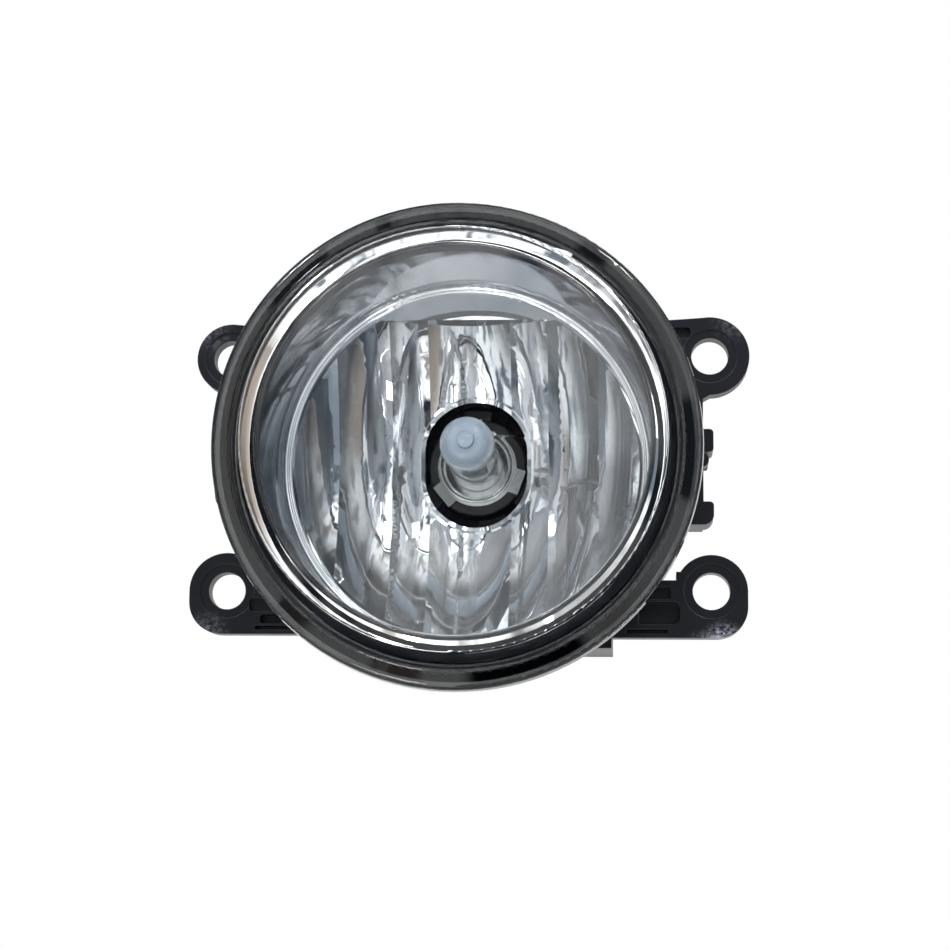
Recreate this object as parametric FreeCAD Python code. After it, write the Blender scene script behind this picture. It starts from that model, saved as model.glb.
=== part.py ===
import FreeCAD, Part
import math
import os

from FreeCAD import Vector

# Round car fog light: a lamp unit that pivots in a moulded carrier with four screw ears.
# Millimetres. X points to the right seen from the front, Y points back into the lamp, Z is up.
# The origin is the centre of the four ear holes, in the plane of the ears' front faces.

# ---------------------------------------------------------------- driving dimensions

# Fits and gaps that several pieces share
SEAT_GAP = 0.05          # between pieces that seat on each other
RUNNING_GAP = 0.05       # radial play of a turning fit
MOVING_GAP = 0.30        # air between faces that move past each other

# Carrier: screw ears
EAR_SPACING_X = 94.0
EAR_SPACING_Z = 46.0
EAR_HOLE_R = 3.6
EAR_THICKNESS = 4.5
EAR_R_UPPER_RIGHT = 7.7
EAR_R_UPPER_LEFT = 6.9
EAR_R_LOWER_RIGHT = 7.0
EAR_R_LOWER_LEFT = 7.4
EAR_SINK_R = 5.3         # shallow dished land round each hole
EAR_SINK_DEPTH = 0.35
ARM_FOOT_RIGHT = 9.0     # flat lower edge of the lower arms, below the hole centres
ARM_FOOT_LEFT = 8.4
ARM_WAIST = 0.5          # dip in the top edge of the upper arms
ARM_TOP_RIGHT = 2.1      # top edge of the lower arms, above the hole centres
ARM_TOP_LEFT = 6.2
RIB = 1.8                # stiffening ribs behind the arms
RIB_OFFSET = 3.2         # rib's middle above and below the hole centre
RIB_HEEL = 0.4           # height of the ribs at their ear ends

# Carrier: coring in the arms' fronts, a slit, a pocket and a shelf above each lower arm's foot.
# Ends are counted from the ear hole's centre towards the ring, bases from the foot.
CORE_LENGTH = 8.0
POCKET_DEPTH = 2.8
SHELF_DEPTH = 1.4
SLIT_BASE = 0.8
SLIT_HEIGHT = 0.8
SLIT_END_RIGHT = 8.4
SLIT_END_LEFT = 5.6
POCKET_BASE_RIGHT = 2.6
POCKET_HEIGHT_RIGHT = 4.3
POCKET_END_RIGHT = 6.0
POCKET_BASE_LEFT = 2.0
POCKET_HEIGHT_LEFT = 1.8
POCKET_END_LEFT = 6.6
SHELF_BASE_RIGHT = 7.4
SHELF_HEIGHT_RIGHT = 2.5
SHELF_END_RIGHT = 7.8
SHELF_BASE_LEFT = 4.4
SHELF_HEIGHT_LEFT = 2.7
SHELF_END_LEFT = 4.4
UPPER_SHELF_BASE = 3.5   # above the upper hole's centre
UPPER_SHELF_HEIGHT = 2.2
UPPER_SHELF_END = 3.7
UPPER_SHELF_LENGTH = 4.3

# Carrier: ring
RING_INNER_R = 39.0
RING_WALL = 2.6
RING_DEPTH = 12.0
SIDE_X = 45.6            # outer face of the side walls
JAW_X = 47.6             # outer face of the lugs on the right side wall
SIDE_TOP = 15.5
JAW_TOP = 8.6
JAW_BOTTOM = -10.1
JAW_HEIGHT = 4.5
JAW_DEPTH = 9.0
JAW_ROUND = 0.8
HOOK_ROUND = 2.0
HOOK_LENGTH = 6.0
LATCH_R = 1.5
LATCH_SINK = 0.4         # latch's axis inside the side wall's face

# Lamp axis and optics
AXIS_Z = 0.6             # lamp axis above the centre of the ears
FOCAL_LENGTH = 18.0
VERTEX_Y = 10.9          # deepest point of the reflecting bowl
LIGHT_CENTRE = 25.0      # bulb's reference plane to the middle of its filament
BULB_SIDE = 1.0          # bulb's axis to the right of the lamp axis
BULB_RISE = 2.2          # bulb's axis above the lamp axis

# Lens glass
LENS_R = 45.0
LENS_REACH = 35.4        # lens edge ahead of the ears
RIDGE_R = 38.6
RIDGE_HEIGHT = 6.5       # ridge ahead of the lens edge
RIDGE_ROUND = 0.7
DOME_HEIGHT = 1.4
GLASS = 3.0
WALL_GLASS = 2.3         # glass between the ridge's wall and the lamp's inside, at the flange
RIDGE_GLASS = 2.7        # the same, at the ridge
CORNER_ROUND = 1.2       # inside round under the ridge
FLANGE_INNER_R = 41.3
FLANGE_SLOPE = 0.9
FLANGE_DEPTH = 3.1
FLANGE_ROUND = 0.8
EDGE_TAPER = 0.3
EDGE_ROUND = 1.2
TONGUE_WALL = 1.6
TONGUE_DEPTH = 2.7

# Lamp body
CHANNEL_PLAY = 0.7       # room for adhesive on each side of the tongue
CHANNEL_FLOOR = 1.9      # room for adhesive under the tongue
CHANNEL_WALL = 2.6       # lamp body between its bore and the channel
BODY_WALL = 1.8
BODY_SETBACK = 0.4       # body's rim inside the lens's edge
BODY_RIM_DEPTH = 6.2     # depth of the rim that holds the channel
BODY_RIM_SLOPE = 1.2
BOWL_WALL = 2.2
NECK_R = 16.0
NECK_END_Y = 24.5
NECK_ROUND = 0.8
NECK_BORE_R = 12.9
NECK_ROOT = 0.3          # necks start this far inside the bowls' walls
NECK_MARGIN = 0.5        # bowls close this far inside their necks

# Reflector
REFLECTOR_FRONT_Y = -31.2
REFLECTOR_FRONT_R = 36.2
LIP_OUTER_R = 35.3
LIP_INNER_R = 33.4
LIP_Y = -5.2
LIP_BEAD_R = 0.45
REFLECTOR_WALL = 1.6
REFLECTOR_BACK = 3.0     # bowl thickness, measured along the axis
REFLECTOR_GAP = 0.3      # air between reflector wall and lamp body
CAVITY_PLAY = 0.5        # air round the bayonet's lugs
NOTCH_PLAY = 0.3         # air outside a lug in its notch
NOTCH_PLAY_DEG = 5.0     # a notch is this much wider than its lug
STOP_DEG = 4.0           # width of the stops that end the bulb's turn
STOP_GAP_DEG = 1.5       # air between a locked lug and its stop
STOP_RELIEF = 0.4        # air between a stop and the bulb's barrel
BOWL_GAP = 1.1           # air between reflector bowl and lamp body, along the axis
STRIP_EDGES = (8.1, 15.5, 25.5, 35.0)
FLUTE_CURVE = 1 / 30.0
CEILING_Z = 29.3         # flat shelf across the top of the bowl, above the ears' centre
BULB_HOLE_X = 10.2       # half width of the bulb hole, which has round ends
BULB_HOLE_Z = 12.5       # half height
HOLE_RIM_WIDTH = 0.8     # raised rim round the bulb hole
HOLE_RIM_HEIGHT = 0.6
BULB_HOLE_BACK = 2.1     # the hole's wall ends this far behind the barrel's face
SCREW_CIRCLE_R = 24.0
SCREW_FIRST_ANGLE = 98.0
SCREW_COUNT = 3
SCREW_SEAT_Y = 8.5
SCREW_HEAD_Y = 13.5
SCREW_R = 1.2
SCREW_HEAD_R = 2.9
SCREW_HEAD_HEIGHT = 1.9
SCREW_LENGTH = 8.0
SCREW_PILOT_PLAY = 0.02
SCREW_BOSS_WALL = 0.9
RECESS_LENGTH = 3.0      # cross recess of the screws
RECESS_WIDTH = 0.6
RECESS_DEPTH = 1.0

# Pivots
PIVOT_Y = 6.5
PIVOT_Z = -1.0
PIN_R = 2.0
PIN_LEFT_END = 48.6
PIN_RIGHT_END = 45.0
BUSH_WALL = 1.0
BUSH_FLANGE_R = 4.0
BUSH_FLANGE = 1.0
PIVOT_ARM_R = 3.9
PIVOT_ARM_START = 20.0   # arms start this far from the lamp's middle, inside the bowl's wall
PIVOT_WEB = 2.0
PIVOT_WEB_RISE = 3.0
BUSH_INSET_LEFT = 0.4    # bushes end short of the pin and of the side wall
BUSH_INSET_RIGHT = 0.2
LEFT_BOSS_R = 4.1
LEFT_BOSS_END = 50.4
SADDLE_SLOT_SHARE = 0.86  # slot mouth over bush diameter, so that the bush snaps in

# Aiming screw, its nut and the lamp body's eye for the nut
AIM_RANGE_DEG = 4.0
ADJUST_X = 17.5
ADJUST_Z = -25.0
ADJUST_Y = 15.0
THREAD_R = 2.0
THREAD_PITCH = 1.5
THREAD_DEPTH = 0.35
THREAD_FRONT = 9.5
THREAD_POINT = 0.8       # plain point ahead of the first turn
THREAD_RELIEF = 2.4      # plain shank ahead of the tower's plate
NUT_R = 3.2
NUT_LENGTH = 5.2
EYE_LENGTH = 4.4
EYE_WALL = 1.5
EYE_ARM_WIDTH = 5.2
EYE_ARM_FRONT_Y = 4.0
EYE_ARM_RISE = 7.0
EYE_RIB_FRONT_Y = 6.0
EYE_RIB = 1.8
TOWER_LEFT = 11.5
TOWER_RIGHT = 27.8
TOWER_FLOOR_Z = -34.0
TOWER_WALL = 2.2
TOWER_PLATE_Y = 21.0
TOWER_PLATE = 3.0
TOWER_TOP_Z = -19.0
TOWER_FRONT_Y = 6.0      # the tower stays behind this plane inside the ring
CLIP_R = 4.2
CLIP_THICKNESS = 0.7
CLIP_SLIT_LENGTH = 6.0
CLIP_SLIT_WIDTH = 0.7
KNOB_R = 5.4
KNOB_LENGTH = 8.0
KNOB_GRIPS = 10
KNOB_GRIP_R = 0.8
KNOB_GRIP_INSET = 1.4
KNOB_SLOT_LENGTH = 6.0
KNOB_SLOT_WIDTH = 1.2
KNOB_SLOT_DEPTH = 2.0

# Bulb
CAPSULE_R = 5.0
CAPSULE_WALL = 0.9
CAPSULE_LENGTH = 41.8    # reference plane to the tip
DOME_LENGTH = 6.4
PIP_R = 1.5
PIP_HEIGHT = 0.7
PIP_FOOT = 0.5           # step from the pip down to the dome
PIP_DIMPLE_R = 1.0       # dimple in the pip, left where the glass was sealed off
PIP_DIMPLE = 0.4
PIP_ROUND = 0.3
TIP_COAT = 0.12
TIP_COAT_LENGTH = 8.4
PINCH_WIDTH = 8.6
PINCH_THICKNESS = 3.2
PINCH_LENGTH = 7.0
FOIL_INSET = 2.0         # foil's ends inside the pinch's ends
FOIL_WIDTH = 1.8
FOIL_THICKNESS = 0.1
PINCH_START = 18.0       # middle of the filament to the start of the pinch
FILAMENT_LENGTH = 5.0
FILAMENT_R = 0.75
FILAMENT_PITCH = 0.5
FILAMENT_WIRE_R = 0.13
LEAD_R = 0.25
LEAD_SPREAD = 1.9
LEAD_REACH = 3.2
LEAD_END = 2.0           # wires end this far behind the reference plane
COLLAR_R = 7.5
COLLAR_WALL = 0.45
COLLAR_PLAY = 0.15       # air between the capsule and the hole in the collar's floor
COLLAR_FRONT = 8.3       # collar's mouth ahead of the reference plane
BARREL_R = 9.8
BARREL_FRONT = 5.4       # barrel's face ahead of the reference plane
PLATE_THICKNESS = 0.4
PLATE_RING_R = 7.9
PLATE_TAB_R = 9.5
PLATE_TAB_WIDTH = 5.0
PLATE_TAB_ANGLE = 100.0
LUG_COUNT = 3
LUG_R = 12.1
LUG_THICKNESS = 2.3
LUG_ANGLE = 26.0
LUG_FIRST_ANGLE = 90.0
TWIST_DEG = 45.0
LEDGE = 2.1
SEAL_SEAT_R = 11.4
SEAL_RING_R = 11.55
SEAL_CORD_R = 1.05
CAP_FLANGE_R = 15.0
CAP_FLANGE = 2.5
CAP_HALF_WIDTH = 9.6
CAP_DEPTH = 12.8
CAP_TOP_Z = 9.4
SOCKET_DEPTH = 14.0
SOCKET_MOUTH_Z = -26.5
SOCKET_WALL = 1.5
TERMINAL_WIDTH = 2.8
TERMINAL_THICKNESS = 0.6
TERMINAL_SPACING = 6.6
BLADE_INSET = 5.5        # blades' tips above the socket's mouth
SOCKET_ROUND = 3.0
GRIP_THICKNESS = 1.6     # finger grips on the base's sides
GRIP_SETBACK = 3.0
GRIP_TOP_Z = 6.0
GRIP_BOTTOM_Z = -8.0
RAMP_HALF_WIDTH = 3.2    # latch ramp for the plug, behind the shroud
RAMP_RISE = 1.1
RAMP_START = 6.0
RAMP_LENGTH = 3.0
PINCH_PLAY = 0.2         # air round the pinch
SEAL_OFFSET = 0.3        # groove's middle behind the middle of its seat

# Breather
VENT_X = -16.0
VENT_Z = 16.5
VENT_TUBE_R = 3.0
VENT_BORE_R = 1.8
VENT_END_Y = 20.5
VENT_CAP_R = 5.2
VENT_CAP_LENGTH = 8.5
VENT_CAP_LIP = 2.2       # rolled rim of the cap
VENT_CAP_WALL = 1.1
VENT_CAP_END = 2.0       # solid end of the cap
VENT_FILTER_LENGTH = 3.0

# ---------------------------------------------------------------- places that follow

LENS_EDGE_Y = -LENS_REACH
RIDGE_Y = LENS_EDGE_Y - RIDGE_HEIGHT
FLANGE_BACK_Y = LENS_EDGE_Y + FLANGE_DEPTH
REFLECTOR_OUTER_R = REFLECTOR_FRONT_R + REFLECTOR_WALL
BODY_INNER_R = REFLECTOR_OUTER_R + REFLECTOR_GAP
CHANNEL_INNER_R = BODY_INNER_R + CHANNEL_WALL
TONGUE_INNER_R = CHANNEL_INNER_R + CHANNEL_PLAY
TONGUE_OUTER_R = TONGUE_INNER_R + TONGUE_WALL
CHANNEL_OUTER_R = TONGUE_OUTER_R + CHANNEL_PLAY
TONGUE_END_Y = FLANGE_BACK_Y + TONGUE_DEPTH
CHANNEL_END_Y = TONGUE_END_Y + CHANNEL_FLOOR
BODY_FRONT_Y = FLANGE_BACK_Y + SEAT_GAP
RING_OUTER_R = RING_INNER_R + RING_WALL
REFERENCE_Y = VERTEX_Y - FOCAL_LENGTH + LIGHT_CENTRE
FILAMENT_Y = REFERENCE_Y - LIGHT_CENTRE
TIP_Y = REFERENCE_Y - CAPSULE_LENGTH
COLLAR_Y = REFERENCE_Y - COLLAR_FRONT
BARREL_Y = REFERENCE_Y - BARREL_FRONT
PINCH_START_Y = FILAMENT_Y + PINCH_START
PINCH_END_Y = PINCH_START_Y + PINCH_LENGTH
LEAD_END_Y = REFERENCE_Y + LEAD_END
PIP_FOOT_Y = TIP_Y + PIP_HEIGHT + PIP_FOOT
DOME_Y = TIP_Y + DOME_LENGTH
REFLECTOR_VERTEX = VERTEX_Y + REFLECTOR_BACK
BODY_INNER_VERTEX = REFLECTOR_VERTEX + BOWL_GAP
BODY_OUTER_VERTEX = BODY_INNER_VERTEX + BOWL_WALL
CAVITY_R = LUG_R + CAVITY_PLAY
REFLECTOR_NECK_R = CAVITY_R + REFLECTOR_WALL
LEDGE_END_Y = REFERENCE_Y + SEAT_GAP + LEDGE
SEAL_Y = (LEDGE_END_Y + NECK_END_Y) / 2 + SEAL_OFFSET
FLANGE_Y = NECK_END_Y + MOVING_GAP
CAP_Y = FLANGE_Y + CAP_FLANGE
BLADE_Y = CAP_Y + CAP_DEPTH / 2
KNOB_Y = TOWER_PLATE_Y + TOWER_PLATE + MOVING_GAP
BUSH_R = PIN_R + RUNNING_GAP + BUSH_WALL
FAR = 200.0
TINY = 1e-6

BULB_OFFSET = math.hypot(BULB_SIDE, BULB_RISE)
AXIS_BASE = Vector(0, 0, AXIS_Z)
TO_BULB_AXIS = Vector(BULB_SIDE, 0, BULB_RISE)
ALONG_X = Vector(1, 0, 0)
ALONG_Y = Vector(0, 1, 0)


# ---------------------------------------------------------------- shape helpers

def corner_arc(before, at, after, radius):
    """Start, middle and end of the round that replaces a sharp corner."""
    into = (before - at).normalize()
    out = (after - at).normalize()
    half = into.getAngle(out) / 2
    reach = radius / math.tan(half)
    bisector = (into + out).normalize()
    middle = at + bisector * (radius / math.sin(half) - radius)
    return at + into * reach, middle, at + out * reach


def outline(points, curves=None):
    """Closed wire through (u, v) or (u, v, corner radius) points, drawn in the XY plane.

    curves gives, by the index of the point that it starts from, a span that isn't straight:
    ("arc", u, v) passes through the point, ("pole", u, v) is a parabola with that pole.
    """
    curves = curves or {}
    count = len(points)
    places = [Vector(p[0], p[1], 0) for p in points]
    rounds = [p[2] if len(p) > 2 else 0 for p in points]
    starts, ends, edges = [], [], []
    for i in range(count):
        if rounds[i] > 0:
            first, middle, last = corner_arc(places[i - 1], places[i], places[(i + 1) % count], rounds[i])
            edges.append((i - 0.5, Part.Arc(first, middle, last).toShape()))
            starts.append(last)
            ends.append(first)
        else:
            starts.append(places[i])
            ends.append(places[i])
    for i in range(count):
        first, last = starts[i], ends[(i + 1) % count]
        if (last - first).Length < TINY:
            continue
        if i not in curves:
            edges.append((i, Part.LineSegment(first, last).toShape()))
            continue
        kind, u, v = curves[i]
        between = Vector(u, v, 0)
        if kind == "arc":
            edges.append((i, Part.Arc(first, between, last).toShape()))
        else:
            parabola = Part.BezierCurve()
            parabola.setPoles([first, between, last])
            edges.append((i, parabola.toShape()))
    edges.sort(key=lambda item: item[0])
    return Part.Wire([edge for _, edge in edges])


def turned(points, curves=None, centre=AXIS_BASE):
    """Solid of revolution about the line along Y through centre, from (radius, y) points."""
    wire = outline(points, curves)
    wire.translate(centre)
    return Part.Face(wire).revolve(centre, ALONG_Y, 360)


def plate(points, y0, y1, curves=None):
    """Flat plate from (x, z) points, between two Y planes."""
    wire = outline(points, curves)
    wire.rotate(Vector(0, 0, 0), ALONG_X, 90)
    wire.translate(Vector(0, y0, 0))
    return Part.Face(wire).extrude(Vector(0, y1 - y0, 0))


def block(x0, x1, y0, y1, z0, z1):
    return Part.makeBox(x1 - x0, y1 - y0, z1 - z0, Vector(x0, y0, z0))


def rod_y(x, z, y0, y1, radius):
    return Part.makeCylinder(radius, y1 - y0, Vector(x, y0, z), ALONG_Y)


def rod_x(x0, x1, y, z, radius):
    return Part.makeCylinder(radius, x1 - x0, Vector(x0, y, z), ALONG_X)


def wire_rod(points, radius):
    """Round wire through the points, with ball joints at its bends."""
    pieces = []
    for first, last in zip(points, points[1:]):
        run = last - first
        pieces.append(Part.makeCylinder(radius, run.Length, first, run))
    for bend in points[1:-1]:
        pieces.append(Part.makeSphere(radius, bend))
    return join(pieces)


def on_bulb_axis(shape):
    """Moves a shape that was made round the lamp axis to the bulb's own axis."""
    return shape.translated(TO_BULB_AXIS)


def cross_cut(solid, x, z, y0, y1, length, width):
    """Cuts a cross of two slots into a solid, round a line along Y."""
    for half_x, half_z in ((length / 2, width / 2), (width / 2, length / 2)):
        solid = solid.cut(block(x - half_x, x + half_x, y0, y1, z - half_z, z + half_z))
    return solid


def join(pieces):
    whole = pieces[0]
    for piece in pieces[1:]:
        whole = whole.fuse(piece)
    return whole.removeSplitter()


def polar(radius, angle_deg):
    """X and Z of a point round the lamp axis."""
    angle = math.radians(angle_deg)
    return radius * math.cos(angle), AXIS_Z + radius * math.sin(angle)


def sector(inner, outer, y0, y1, middle_deg, width_deg):
    """Part of a ring round the lamp axis, seen from the front, counted from +X towards +Z."""
    ring = Part.makeCylinder(outer, y1 - y0, Vector(0, y0, AXIS_Z), ALONG_Y)
    if inner > 0:
        ring = ring.cut(Part.makeCylinder(inner, y1 - y0, Vector(0, y0, AXIS_Z), ALONG_Y))
    reach = 2 * outer
    left = math.radians(middle_deg - width_deg / 2)
    right = math.radians(middle_deg + width_deg / 2)
    corners = [
        (0, AXIS_Z),
        (reach * math.cos(left), AXIS_Z + reach * math.sin(left)),
        (reach * math.cos(right), AXIS_Z + reach * math.sin(right)),
    ]
    return ring.common(plate(corners, y0, y1))


def bowl_y(radius, vertex):
    """Depth of the paraboloid with its vertex at the given depth."""
    return vertex - radius ** 2 / (4 * FOCAL_LENGTH)


def bowl_r(y, vertex):
    return math.sqrt(4 * FOCAL_LENGTH * (vertex - y))


def bowl_pole(r0, r1, vertex):
    """Pole of the exact parabola between two radii of the bowl."""
    return ("pole", (r0 + r1) / 2, vertex - r0 * r1 / (4 * FOCAL_LENGTH))


def save(shape, name):
    assert shape.isValid(), name
    shape.exportStep("parts/" + name + ".step")
    print(f"{name:20s} solids {len(shape.Solids)} volume {shape.Volume:10.2f}")


# ---------------------------------------------------------------- carrier

def ear(side, level, radius):
    return rod_y(side * EAR_SPACING_X / 2, level * EAR_SPACING_Z / 2, 0, EAR_THICKNESS, radius)


def upper_arm(side, radius):
    """Arm from the ring to an upper ear, with a slightly waisted top edge."""
    ear_x = EAR_SPACING_X / 2
    ear_z = EAR_SPACING_Z / 2
    top = ear_z + radius
    points = [
        (side * RING_INNER_R * 0.7, top - ARM_WAIST),
        (side * (ear_x - radius), top - ARM_WAIST),
        (side * ear_x, top),
        (side * ear_x, ear_z - radius),
        (side * SIDE_X, SIDE_TOP - 1),
        (side * (RING_INNER_R - 1), SIDE_TOP - 1),
        (side * RING_INNER_R * 0.7, ear_z - radius),
    ]
    waist_curve = ("arc", side * (ear_x - radius * 0.45), top - ARM_WAIST / 2)
    return plate(points, 0, EAR_THICKNESS, {1: waist_curve})


def lower_arm(side, radius, foot, top):
    """Arm from the ring to a lower ear, with a flat foot and a rounded outer corner."""
    ear_x = EAR_SPACING_X / 2
    ear_z = -EAR_SPACING_Z / 2
    points = [
        (side * RING_INNER_R * 0.6, ear_z - foot),
        (side * (ear_x + radius), ear_z - foot, radius * 0.85),
        (side * (ear_x + radius), ear_z),
        (side * (ear_x - radius * 0.72), ear_z + top),
        (side * RING_INNER_R * 0.8, ear_z + top),
    ]
    return plate(points, 0, EAR_THICKNESS)


def arm_pocket(side, end, base_z, height, depth, length=CORE_LENGTH):
    """Pocket in the front of an arm, rounded at its outer end; end is counted from the ear's hole."""
    radius = height * 0.35
    outer = side * (EAR_SPACING_X / 2 - end)
    inner = outer - side * length
    top_z = base_z + height
    corners = [(inner, base_z), (outer, base_z, radius), (outer, top_z, radius), (inner, top_z)]
    return plate(corners, -1, depth)


def carrier_plan():
    """Ring, ear arms and side walls, before the pivots and the tower are added."""
    left, right = -1, 1
    ring = rod_y(0, AXIS_Z, 0, RING_DEPTH, RING_OUTER_R)
    solids = [
        ring,
        ear(right, 1, EAR_R_UPPER_RIGHT),
        ear(left, 1, EAR_R_UPPER_LEFT),
        ear(right, -1, EAR_R_LOWER_RIGHT),
        ear(left, -1, EAR_R_LOWER_LEFT),
        upper_arm(right, EAR_R_UPPER_RIGHT),
        upper_arm(left, EAR_R_UPPER_LEFT),
        lower_arm(right, EAR_R_LOWER_RIGHT, ARM_FOOT_RIGHT, ARM_TOP_RIGHT),
        lower_arm(left, EAR_R_LOWER_LEFT, ARM_FOOT_LEFT, ARM_TOP_LEFT),
    ]
    for side in (left, right):
        low, high = sorted((side * (RING_INNER_R - 1), side * SIDE_X))
        solids.append(block(low, high, 0, RING_DEPTH, JAW_BOTTOM, SIDE_TOP))
    return join(solids)


def jaws():
    """Two rounded lugs on the right side wall, above and below the pivot."""
    root_x = JAW_X - HOOK_LENGTH
    upper = [
        (root_x, JAW_TOP - JAW_HEIGHT),
        (JAW_X, JAW_TOP - JAW_HEIGHT, JAW_ROUND),
        (JAW_X, JAW_TOP, JAW_ROUND),
        (root_x, JAW_TOP),
    ]
    lower = [
        (root_x, JAW_BOTTOM),
        (JAW_X, JAW_BOTTOM, HOOK_ROUND),
        (JAW_X, JAW_BOTTOM + JAW_HEIGHT, JAW_ROUND),
        (root_x, JAW_BOTTOM + JAW_HEIGHT),
    ]
    latch_z = JAW_TOP - JAW_HEIGHT - LATCH_R
    latch = rod_y(SIDE_X - LATCH_SINK, latch_z, 0, JAW_DEPTH, LATCH_R)
    return [plate(upper, 0, JAW_DEPTH), plate(lower, 0, JAW_DEPTH), latch]


def adjuster_tower():
    """Three-sided tower behind the ring whose end plate carries the aiming screw."""
    end_y = TOWER_PLATE_Y + TOWER_PLATE
    root = block(TOWER_LEFT, TOWER_RIGHT, 0, RING_DEPTH, TOWER_FLOOR_Z - 8, TOWER_FLOOR_Z + TOWER_WALL)
    root = root.common(rod_y(0, AXIS_Z, 0, RING_DEPTH, RING_OUTER_R))
    floor = block(TOWER_LEFT, TOWER_RIGHT, 0, end_y, TOWER_FLOOR_Z, TOWER_FLOOR_Z + TOWER_WALL)
    cheek = block(TOWER_RIGHT - TOWER_WALL, TOWER_RIGHT, 0, end_y, TOWER_FLOOR_Z, TOWER_TOP_Z)
    end_plate = plate(
        [
            (TOWER_LEFT, TOWER_FLOOR_Z),
            (TOWER_RIGHT, TOWER_FLOOR_Z),
            (TOWER_RIGHT, TOWER_TOP_Z),
            (TOWER_LEFT, TOWER_TOP_Z, 4.0),
        ],
        TOWER_PLATE_Y,
        end_y,
    )
    return [root, floor, cheek, end_plate]


def arm_ribs():
    """Two wedge-shaped ribs behind each arm, from the ring's back edge down to the ear."""
    ribs = []
    for side in (-1, 1):
        root_x = side * (RING_INNER_R + RING_WALL / 2)
        tip_x = side * (EAR_SPACING_X / 2 - EAR_SINK_R)
        wedge = [(root_x, EAR_THICKNESS - 1), (tip_x, EAR_THICKNESS - 1),
                 (tip_x, EAR_THICKNESS + RIB_HEEL), (root_x, RING_DEPTH - 1)]
        for level in (-1, 1):
            for offset in (-RIB_OFFSET, RIB_OFFSET):
                z = level * EAR_SPACING_Z / 2 + offset - RIB / 2
                rib = Part.Face(outline(wedge)).extrude(Vector(0, 0, RIB))
                rib.translate(Vector(0, 0, z))
                ribs.append(rib)
    return ribs


def ear_lands():
    """Through holes of the ears and the shallow dished land round each."""
    cuts = []
    for side in (-1, 1):
        for level in (-1, 1):
            x, z = side * EAR_SPACING_X / 2, level * EAR_SPACING_Z / 2
            cuts.append(rod_y(x, z, -1, EAR_THICKNESS + 1, EAR_HOLE_R))
            cuts.append(rod_y(x, z, -1, EAR_SINK_DEPTH, EAR_SINK_R))
    return cuts


def arm_pockets():
    """Coring pockets and slits of the arms, seen from the front."""
    left, right = -1, 1
    ear_z = EAR_SPACING_Z / 2
    foot = -ear_z - ARM_FOOT_RIGHT
    other = -ear_z - ARM_FOOT_LEFT
    return [
        arm_pocket(right, SLIT_END_RIGHT, foot + SLIT_BASE, SLIT_HEIGHT, POCKET_DEPTH),
        arm_pocket(right, POCKET_END_RIGHT, foot + POCKET_BASE_RIGHT, POCKET_HEIGHT_RIGHT, POCKET_DEPTH),
        arm_pocket(right, SHELF_END_RIGHT, foot + SHELF_BASE_RIGHT, SHELF_HEIGHT_RIGHT, SHELF_DEPTH),
        arm_pocket(left, SLIT_END_LEFT, other + SLIT_BASE, SLIT_HEIGHT, POCKET_DEPTH),
        arm_pocket(left, POCKET_END_LEFT, other + POCKET_BASE_LEFT, POCKET_HEIGHT_LEFT, POCKET_DEPTH),
        arm_pocket(left, SHELF_END_LEFT, other + SHELF_BASE_LEFT, SHELF_HEIGHT_LEFT, SHELF_DEPTH),
        arm_pocket(right, UPPER_SHELF_END, ear_z + UPPER_SHELF_BASE, UPPER_SHELF_HEIGHT, SHELF_DEPTH,
                   UPPER_SHELF_LENGTH),
    ]


def pivot_cuts():
    """Bores and spot faces for the bushes; the right bore is open to the back for its bush."""
    bore = BUSH_R + SEAT_GAP
    mouth = bore * SADDLE_SLOT_SHARE
    inside = RING_INNER_R - 2
    outside = SIDE_X + 1
    spot_r = BUSH_FLANGE_R + MOVING_GAP
    return [
        rod_x(-PIN_LEFT_END - MOVING_GAP, -inside, PIVOT_Y, PIVOT_Z, bore),
        rod_x(inside, outside, PIVOT_Y, PIVOT_Z, bore),
        block(inside, outside, PIVOT_Y, RING_DEPTH + 1, PIVOT_Z - mouth, PIVOT_Z + mouth),
        rod_x(-RING_INNER_R, -inside, PIVOT_Y, PIVOT_Z, spot_r),
        rod_x(inside, RING_INNER_R, PIVOT_Y, PIVOT_Z, spot_r),
    ]


def make_bracket():
    left_boss = rod_x(-LEFT_BOSS_END, -RING_INNER_R - 1, PIVOT_Y, PIVOT_Z, LEFT_BOSS_R)
    body = join([carrier_plan(), left_boss] + jaws() + arm_ribs())
    body = body.cut(rod_y(0, AXIS_Z, -1, RING_DEPTH + 1, RING_INNER_R))
    tower = join(adjuster_tower()).cut(rod_y(0, AXIS_Z, -1, TOWER_FRONT_Y, RING_INNER_R))
    screw_hole = rod_y(ADJUST_X, ADJUST_Z, TOWER_PLATE_Y - 1, KNOB_Y, THREAD_R + MOVING_GAP)
    body = body.fuse(tower)
    for cut in [screw_hole] + pivot_cuts() + ear_lands() + arm_pockets():
        body = body.cut(cut)
    return body.removeSplitter()


def make_bush(side, outer_end):
    """Flanged nylon bush of one pivot."""
    flange_outer = RING_INNER_R - SEAT_GAP
    flange_inner = flange_outer - BUSH_FLANGE
    sleeve = rod_x(*sorted((side * flange_inner, side * outer_end)), PIVOT_Y, PIVOT_Z, BUSH_R)
    flange = rod_x(*sorted((side * flange_inner, side * flange_outer)), PIVOT_Y, PIVOT_Z, BUSH_FLANGE_R)
    bore = rod_x(-FAR, FAR, PIVOT_Y, PIVOT_Z, PIN_R + RUNNING_GAP)
    return join([sleeve, flange]).cut(bore)


# ---------------------------------------------------------------- aiming screw

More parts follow.
